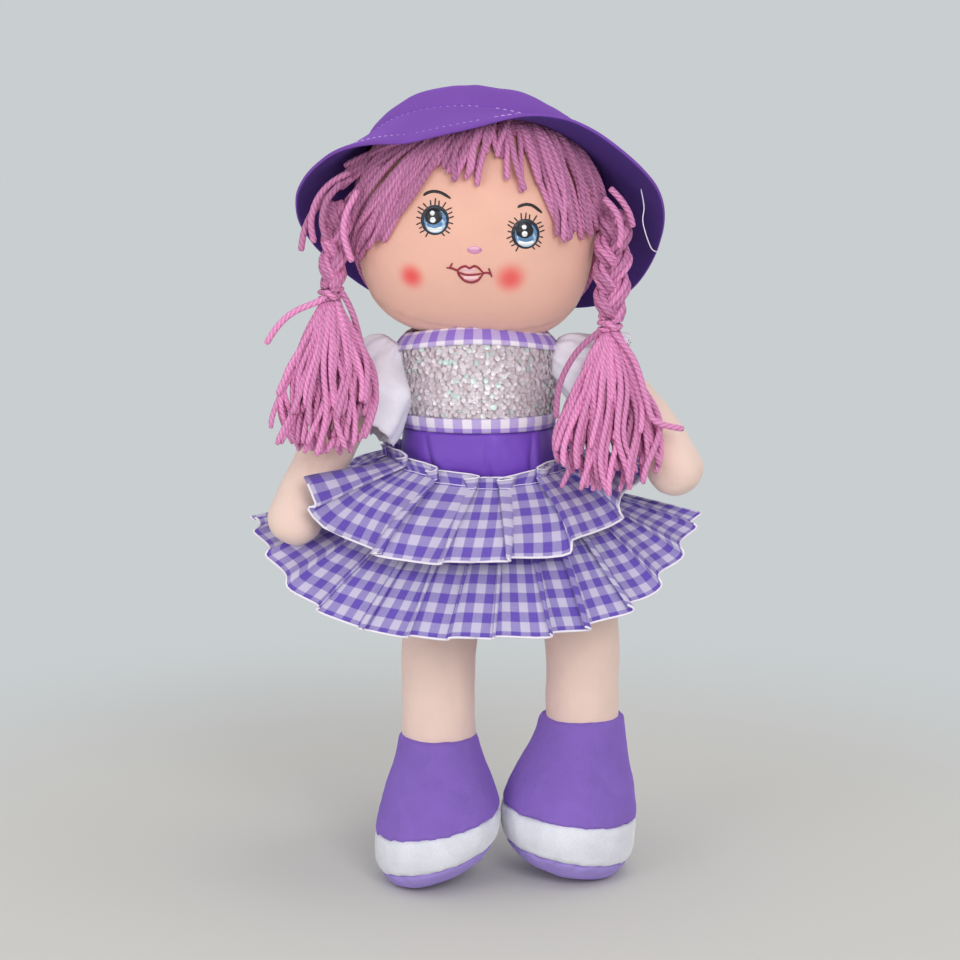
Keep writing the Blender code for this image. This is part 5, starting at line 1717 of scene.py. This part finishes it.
class DOLL_OT_sleeves(bpy.types.Operator):
    """Gathered cap sleeves of thin white cotton, with a frayed edge"""

    bl_idname = "doll.sleeves"
    bl_label = "Sleeves"

    def execute(self, context):
        lawn = fine_cloth("cotton_lawn_white", linear_colour(LAWN), 0.85, 1.2)
        for side in SIDES:
            sleeve = grid_piece(f"sleeve_lawn_{side}", *sleeve_rows(side), closed=True)
            thicken(sleeve, SLEEVE_WALL)
            sleeve.data.materials.append(lawn)
            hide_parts(f"sleeve_{side}")
            shoulder, along, *_ = sleeve_axes(side)
            start, end = (shoulder + along * ahead for ahead in SLEEVE_BLEND)
            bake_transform(sleeve)
            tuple(start)
            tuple(end)
        return {"FINISHED"}


# the yoke is a shiny satin, whose foot is tucked under the lower ruffle's seam
YOKE_TUCK = 0.002
YOKE_OFFSET = 0.0022
YOKE_WALL = 0.0008
YOKE_LEVELS = 16
YOKE_STEPS = 300
YOKE_BULGE = 0.0012
YOKE_WAVE = 0.0005
# its creases: turn round the doll halfway up, lean and depth. Beside each sharp groove lies a soft fold
YOKE_CREASES = ((-0.66, 0.22, 0.0026), (0.06, -0.04, 0.0016), (0.62, -0.34, 0.0024),
                (2.1, -0.1, 0.0012), (3.0, 0.1, 0.0012), (-2.3, 0.1, 0.0012))
GROOVE_WIDTH = 0.035
FOLD_WIDTH = 0.08
FOLD_SHIFT = 0.10


def yoke_ripple(turn, share):
    """How far the yoke stands off at a turn and a share of its height."""
    depth = YOKE_BULGE * sin(pi * share) + YOKE_WAVE * wobble((sin(turn) * 3, cos(turn) * 3, share), 0.6)
    for place, lean, deep in YOKE_CREASES:
        apart = ((turn + pi) % (2 * pi) - pi) - place - lean * (0.5 - share)
        groove = 1.2 * exp(-(apart / GROOVE_WIDTH) ** 2) * mix(1, 0.1, share)
        fold = 0.7 * exp(-((apart - FOLD_SHIFT) / FOLD_WIDTH) ** 2) * mix(1, 0.3, share)
        depth += deep * (fold - groove)
    return depth


class DOLL_OT_yoke(bpy.types.Operator):
    """Plain top of the skirt, drawn into a few creases"""

    bl_idname = "doll.yoke"
    bl_label = "Skirt yoke"

    def execute(self, context):
        low = RUFFLES["lower_ruffle"]["head"][0] - YOKE_TUCK
        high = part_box("skirt_yoke")[1][2]
        rows, coords = band_rows(low, high, YOKE_OFFSET, YOKE_LEVELS, YOKE_STEPS, 0, yoke_ripple)
        satin = fine_cloth("satin_yoke", colours().yoke, 0.5, 1.5)
        cloth_band("yoke_satin", satin, "skirt_yoke", "yoke_satin", rows, coords, YOKE_WALL)
        return {"FINISHED"}


# Ruffles: head and hem hold the height in front and what it rises at the sides, tilt how much higher the
# left side of the hem is, and half its half width and depth. Over and deep tell how far the pleats lie over
# and how deep they are, first at the seam and then at the hem. Lifted is how far the seam stands off at the
# sides, header how far the cloth stands above it, and seed picks what is uneven
RUFFLES = {
    "upper_ruffle": {
        "head": (0.2030, 0.0135), "hem": (0.1742, 0.034), "tilt": 0.003, "half": (0.0815, 0.0660),
        "pleats": 16, "swell": 0.004, "over": (0.34, 0.24), "deep": (0.0022, 0.0050),
        "header": 0.0055, "lifted": 0.005, "seed": 2,
    },
    "lower_ruffle": {
        "head": (0.1985, 0.001), "hem": (0.1385, 0.045), "tilt": 0.001, "half": (0.1085, 0.0730),
        "pleats": 30, "swell": 0.001, "over": (0.34, 0.22), "deep": (0.0022, 0.0046),
        "header": 0, "lifted": 0, "seed": 7,
    },
}
PLEAT_STEPS = 18
RUFFLE_LEVELS = 30
HEADER_ROWS = 3
HEADER_FLARE = 0.0006
RUFFLE_OFFSET = 0.0060
# gathers at the seam, lumps and sag of the pleats, and how far pleats drift from their even places
GATHER_DEPTH = 0.0004
RUFFLE_LUMP = 0.0014
PLEAT_SAG = 0.0016
PLEAT_DRIFT = 0.34
# the depth is measured along every ninth row of points
MEASURE_EVERY = 9
# how the upper ruffle's hem lies round the right arm: degrees round the doll, and how far it is moved there
ARM_SIDE = (
    (-180, Vector((0, 0, 0))),
    (-124, Vector((0, 0, 0))),
    (-109, Vector((0.0115, -0.0024, 0.0050))),
    (-96, Vector((0.0255, -0.0078, 0.0010))),
    (-83, Vector((0.0240, -0.0158, 0.0010))),
    (-73, Vector((0.0100, -0.0216, 0.0080))),
    (-64, Vector((-0.0092, -0.0211, 0.0180))),
    (-55, Vector((-0.0052, -0.0121, 0.0050))),
    (-44, Vector((0, 0, 0))),
    (180, Vector((0, 0, 0))),
)


def beside_arm(turn):
    """How far the hem is moved at a turn: it juts out in front of the right arm and is pressed in there."""
    angle = degrees((turn + pi) % (2 * pi) - pi)
    for low, high in zip(ARM_SIDE, ARM_SIDE[1:]):
        if angle <= high[0]:
            return low[1].lerp(high[1], smooth_step((angle - low[0]) / (high[0] - low[0])))
    return ARM_SIDE[-1][1]


def ruffle_seam(shape, turn, plain):
    """Where a ruffle is sewn on, at a turn; plain is the turn without the lean of its pleats."""
    z, rise = shape["head"]
    side = sin(plain) ** 2
    return dress_ring(z + rise * side, turn, RUFFLE_OFFSET + shape["lifted"] * side)


def ruffle_hem(shape, turn, plain):
    """Where a ruffle's hem hangs, before its pleats."""
    z, rise = shape["hem"]
    edge_z = z + rise * sin(plain) ** 4 + shape["tilt"] * sin(plain)
    edge = Vector((shape["half"][0] * sin(turn), -shape["half"][1] * cos(turn), edge_z))
    return edge + beside_arm(turn) if shape["header"] else edge


def ruffle_point(shape, place, part):
    """A point of a ruffle: place counts pleats round it, and part goes from seam at 0 to hem at 1."""
    seed, count = shape["seed"], shape["pleats"]
    even = 2 * pi * place / count
    own = 0.5 + 0.5 * noise.noise(Vector((seed + sin(even) * 3.1, cos(even) * 3.1, 0)) * 2)
    drift = PLEAT_DRIFT * part * noise.noise(Vector((sin(even) * 5, cos(even) * 5, seed)))
    below = max(part, 0)
    over = mix(*shape["over"], below**0.7) * (0.45 + 1.1 * own)
    deep = mix(*shape["deep"], below) * (0.65 + 0.7 * own)
    turn = 2 * pi * (place + drift + over * sin(2 * pi * place)) / count
    plain = 2 * pi * (place + drift) / count
    out = Vector((sin(turn), -cos(turn), 0))
    base = ruffle_seam(shape, turn, plain).lerp(ruffle_hem(shape, turn, plain), below)
    pleat = deep * (1 - cos(2 * pi * place)) / 2 + GATHER_DEPTH * (1 - below) ** 3 * sin(10 * pi * place)
    swell = shape["swell"] * sin(pi * below) + RUFFLE_LUMP * part * noise.noise(base * 45)
    if part < 0:
        base += (UP * shape["header"] + out * HEADER_FLARE) * -part
    sag = PLEAT_SAG * part * sin(2 * pi * place + 0.8) * own
    return base + out * (pleat + swell) - UP * sag


def ruffle_rows(shape):
    """The ruffle's rows, the cloth's own place of each point, and its flat length and depth.

    The places are measured along the folds, and a whole number of checks goes round the hem.
    """
    parts = [step / HEADER_ROWS - 1 for step in range(HEADER_ROWS)] if shape["header"] else []
    parts += [level / RUFFLE_LEVELS for level in range(RUFFLE_LEVELS + 1)]
    count = shape["pleats"] * PLEAT_STEPS
    rows = [[ruffle_point(shape, step / PLEAT_STEPS, part) for step in range(count)] for part in parts]
    hem = rows[-1]
    runs = [0]
    for step in range(count):
        runs.append(runs[-1] + (hem[(step + 1) % count] - hem[step]).length)
    repeat = 4 * sizes().check
    scale = round(runs[-1] / repeat) * repeat / runs[-1]
    coords, down = [], 0
    for level, row in enumerate(rows):
        if level:
            falls = [(row[step] - rows[level - 1][step]).length for step in range(0, count, MEASURE_EVERY)]
            down += sum(falls) / len(falls)
        coords.append([(run * scale, -down) for run in runs])
    lengths = [sum((row[step] - row[step - 1]).length for step in range(count)) for row in rows]
    return rows, coords, sum(lengths) / len(rows), down


PIPING = "#EEE8F2"
PIPING_RADIUS = 0.0006
# the white line on the header's fold, and the stitches that sew the ruffle on
FOLD_LINE_RADIUS = 0.0004
SEAM_STITCH_RADIUS = 0.00025


class DOLL_OT_ruffles(bpy.types.Operator):
    """Two pleated gingham ruffles, each with a piped hem"""

    bl_idname = "doll.ruffles"
    bl_label = "Ruffles"

    def execute(self, context):
        cloth = gingham_cotton("gingham_cotton", sizes().check, colours().gingham, colours().gingham_white)
        piping = cotton_thread("cotton_piping", PIPING, 0.85)
        for name, shape in RUFFLES.items():
            rows, coords, length, depth = ruffle_rows(shape)
            ruffle = grid_piece(f"{name}_gingham", rows, coords, closed=True)
            thicken(ruffle, sizes().cloth_wall)
            ruffle.data.materials.append(cloth)
            pieces = [ruffle, self.add_piping(name, rows[-1], piping)]
            if shape["header"]:
                pieces.append(self.add_header_stitches(rows, piping))
            for piece in pieces:
                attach(piece, "torso")
                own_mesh(piece)
            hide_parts(name)
        return {"FINISHED"}

    def add_piping(self, name, hem, cord):
        """A pale cord along the hem."""
        piping = strand_piece(f"{name}_piping", [([*hem[::2], hem[0], hem[0]], PIPING_RADIUS, 0.5)], sides=6)
        piping.data.materials.append(cord)
        return piping

    def add_header_stitches(self, rows, thread):
        """A white line along the header's fold, and one of stitches where the ruffle is sewn on."""
        lines = []
        for row, radius in ((rows[0], FOLD_LINE_RADIUS), (rows[HEADER_ROWS], SEAM_STITCH_RADIUS)):
            ring = []
            for step, point in enumerate(row):
                turn = 2 * pi * step / len(row)
                ring.append(point + Vector((sin(turn), -cos(turn), 0)) * sizes().cloth_wall)
            lines.append(([*ring, ring[0]], radius, 0.5))
        stitches = strand_piece("header_stitches", lines, sides=5)
        stitches.data.materials.append(thread)
        return stitches


# Stage: how far from the doll the floor starts to go over into the plain background, and where it has
FADE_START = 0.20
FADE_END = 0.55
FLOOR_HALF = 8
BACKGROUND = "#C9CED0"
BOARD = "#D2D0CA"

# soft lamps: name, place, diameter and watts; and the strength of the room's own light
LAMPS = (
    ("key", Vector((0.50, -1.55, 0.95)), 0.8, 10.8),
    ("fill", Vector((-1.1, -1.2, 0.45)), 1.1, 6.8),
    ("top", Vector((0.25, -0.1, 1.6)), 0.8, 2.6),
)
LAMP_AIM = Vector((0, 0, 0.2))
ROOM_LIGHT = 0.75
ROOM_TINT = (0.85, 0.86, 0.89, 1)


def seen_share(tree):
    """1 where the picture, a gloss or a clear piece sees a surface, and 0 where it only lights the doll."""
    path = add_node(tree, "ShaderNodeLightPath")
    direct = add_node(tree, "ShaderNodeMath", {"operation": "MAXIMUM"}, {
        0: path.outputs["Is Camera Ray"], 1: path.outputs["Is Glossy Ray"]})
    return add_node(tree, "ShaderNodeMath", {"operation": "MAXIMUM"}, {
        0: direct.outputs[0], 1: path.outputs["Is Transmission Ray"]}).outputs[0]


def matt_board(name):
    """Matt painted board: a warm grey that takes the doll's shadow and fades into the plain background."""
    material, tree, shader = start_material(name, Roughness=0.85)
    shader.inputs["Base Color"].default_value = four(linear_colour(BOARD))
    place = add_node(tree, "ShaderNodeTexCoord").outputs["Object"]
    away = add_node(tree, "ShaderNodeVectorMath", {"operation": "LENGTH"}, {0: place})
    fade = add_node(tree, "ShaderNodeMapRange", {"interpolation_type": "SMOOTHSTEP"}, {
        "Value": away.outputs["Value"], "From Min": FADE_START, "From Max": FADE_END})
    share = add_node(tree, "ShaderNodeMath", {"operation": "MULTIPLY"}, {
        0: fade.outputs[0], 1: seen_share(tree)})
    plain = add_node(tree, "ShaderNodeEmission", None, {
        "Color": four(linear_colour(BACKGROUND)), "Strength": 1})
    mixed = add_node(tree, "ShaderNodeMixShader", None, {
        0: share.outputs[0], 1: shader.outputs[0], 2: plain.outputs[0]})
    tree.links.new(mixed.outputs[0], tree.nodes["Material Output"].inputs["Surface"])
    return material


class DOLL_OT_stage(bpy.types.Operator):
    """Plain floor and background, soft lights and the camera"""

    bl_idname = "doll.stage"
    bl_label = "Stage"

    def execute(self, context):
        ends = (-FLOOR_HALF, FLOOR_HALF)
        rows = [[Vector((x, y, 0)) for x in ends] for y in ends]
        floor = grid_piece("floor", rows, [[(x, y) for x in ends] for y in ends])
        floor.data.materials.append(matt_board("matt_painted_board"))
        self.add_lights()
        self.add_world()
        camera = bpy.data.objects.new("camera", bpy.data.cameras.new("camera"))
        bpy.context.scene.collection.objects.link(camera)
        camera.data.lens = CAMERA_LENS
        camera.data.sensor_width = SENSOR
        ahead = Vector((0, cos(CAMERA_ELEVATION), -sin(CAMERA_ELEVATION)))
        camera.location = CAMERA_TARGET - ahead * CAMERA_DISTANCE
        camera.rotation_euler = (pi / 2 - CAMERA_ELEVATION, 0, 0)
        bpy.context.scene.camera = camera
        bpy.context.scene.view_settings.view_transform = "Standard"
        return {"FINISHED"}

    def add_lights(self):
        for name, place, size, power in LAMPS:
            light = bpy.data.lights.new(name, "AREA")
            light.energy = power
            light.shape = "DISK"
            light.size = size
            lamp = bpy.data.objects.new(name, light)
            lamp.location = place
            lamp.rotation_euler = (LAMP_AIM - place).to_track_quat("-Z", "Y").to_euler()
            bpy.context.scene.collection.objects.link(lamp)

    def add_world(self):
        """Soft room light; what the camera sees behind the floor is the plain background."""
        world = bpy.data.worlds.new("room")
        bpy.context.scene.world = world
        world.use_nodes = True
        tree = world.node_tree
        seen = seen_share(tree)
        tint = add_node(tree, "ShaderNodeMix", {"data_type": "RGBA"}, {
            0: seen, 6: ROOM_TINT, 7: four(linear_colour(BACKGROUND))})
        power = add_node(tree, "ShaderNodeMix", {"data_type": "FLOAT"}, {0: seen, 2: ROOM_LIGHT, 3: 1.0})
        back = tree.nodes["Background"]
        tree.links.new(tint.outputs[2], back.inputs["Color"])
        tree.links.new(power.outputs[0], back.inputs["Strength"])


# Panel and start


OPERATORS = (
    DOLL_OT_head, DOLL_OT_face, DOLL_OT_hair, DOLL_OT_plaits, DOLL_OT_hat, DOLL_OT_body, DOLL_OT_boots,
    DOLL_OT_bodice, DOLL_OT_ribbons, DOLL_OT_sleeves, DOLL_OT_yoke, DOLL_OT_ruffles, DOLL_OT_stage,
)


class DOLL_PT_panel(bpy.types.Panel):
    """Lists the doll's sizes, colours and steps"""

    bl_label = "Rag doll"
    bl_idname = "DOLL_PT_panel"
    bl_space_type = "VIEW_3D"
    bl_region_type = "UI"
    bl_category = "Rag doll"

    def draw(self, context):
        for group in (context.scene.doll_sizes, context.scene.doll_colours):
            for name in group.bl_rna.properties.keys():
                if name not in ("rna_type", "name"):
                    self.layout.prop(group, name)
        for operator in OPERATORS:
            self.layout.operator(operator.bl_idname)


CLASSES = (DollSizes, DollColours, *OPERATORS, DOLL_PT_panel)


def register():
    for item in CLASSES:
        bpy.utils.register_class(item)
    bpy.types.Scene.doll_sizes = PointerProperty(type=DollSizes)
    bpy.types.Scene.doll_colours = PointerProperty(type=DollColours)


def unregister():
    del bpy.types.Scene.doll_colours
    del bpy.types.Scene.doll_sizes
    for item in reversed(CLASSES):
        bpy.utils.unregister_class(item)


def main():
    register()
    for operator in OPERATORS:
        group, name = operator.bl_idname.split(".")
        getattr(getattr(bpy.ops, group), name)()


if __name__ == "__main__":
    main()
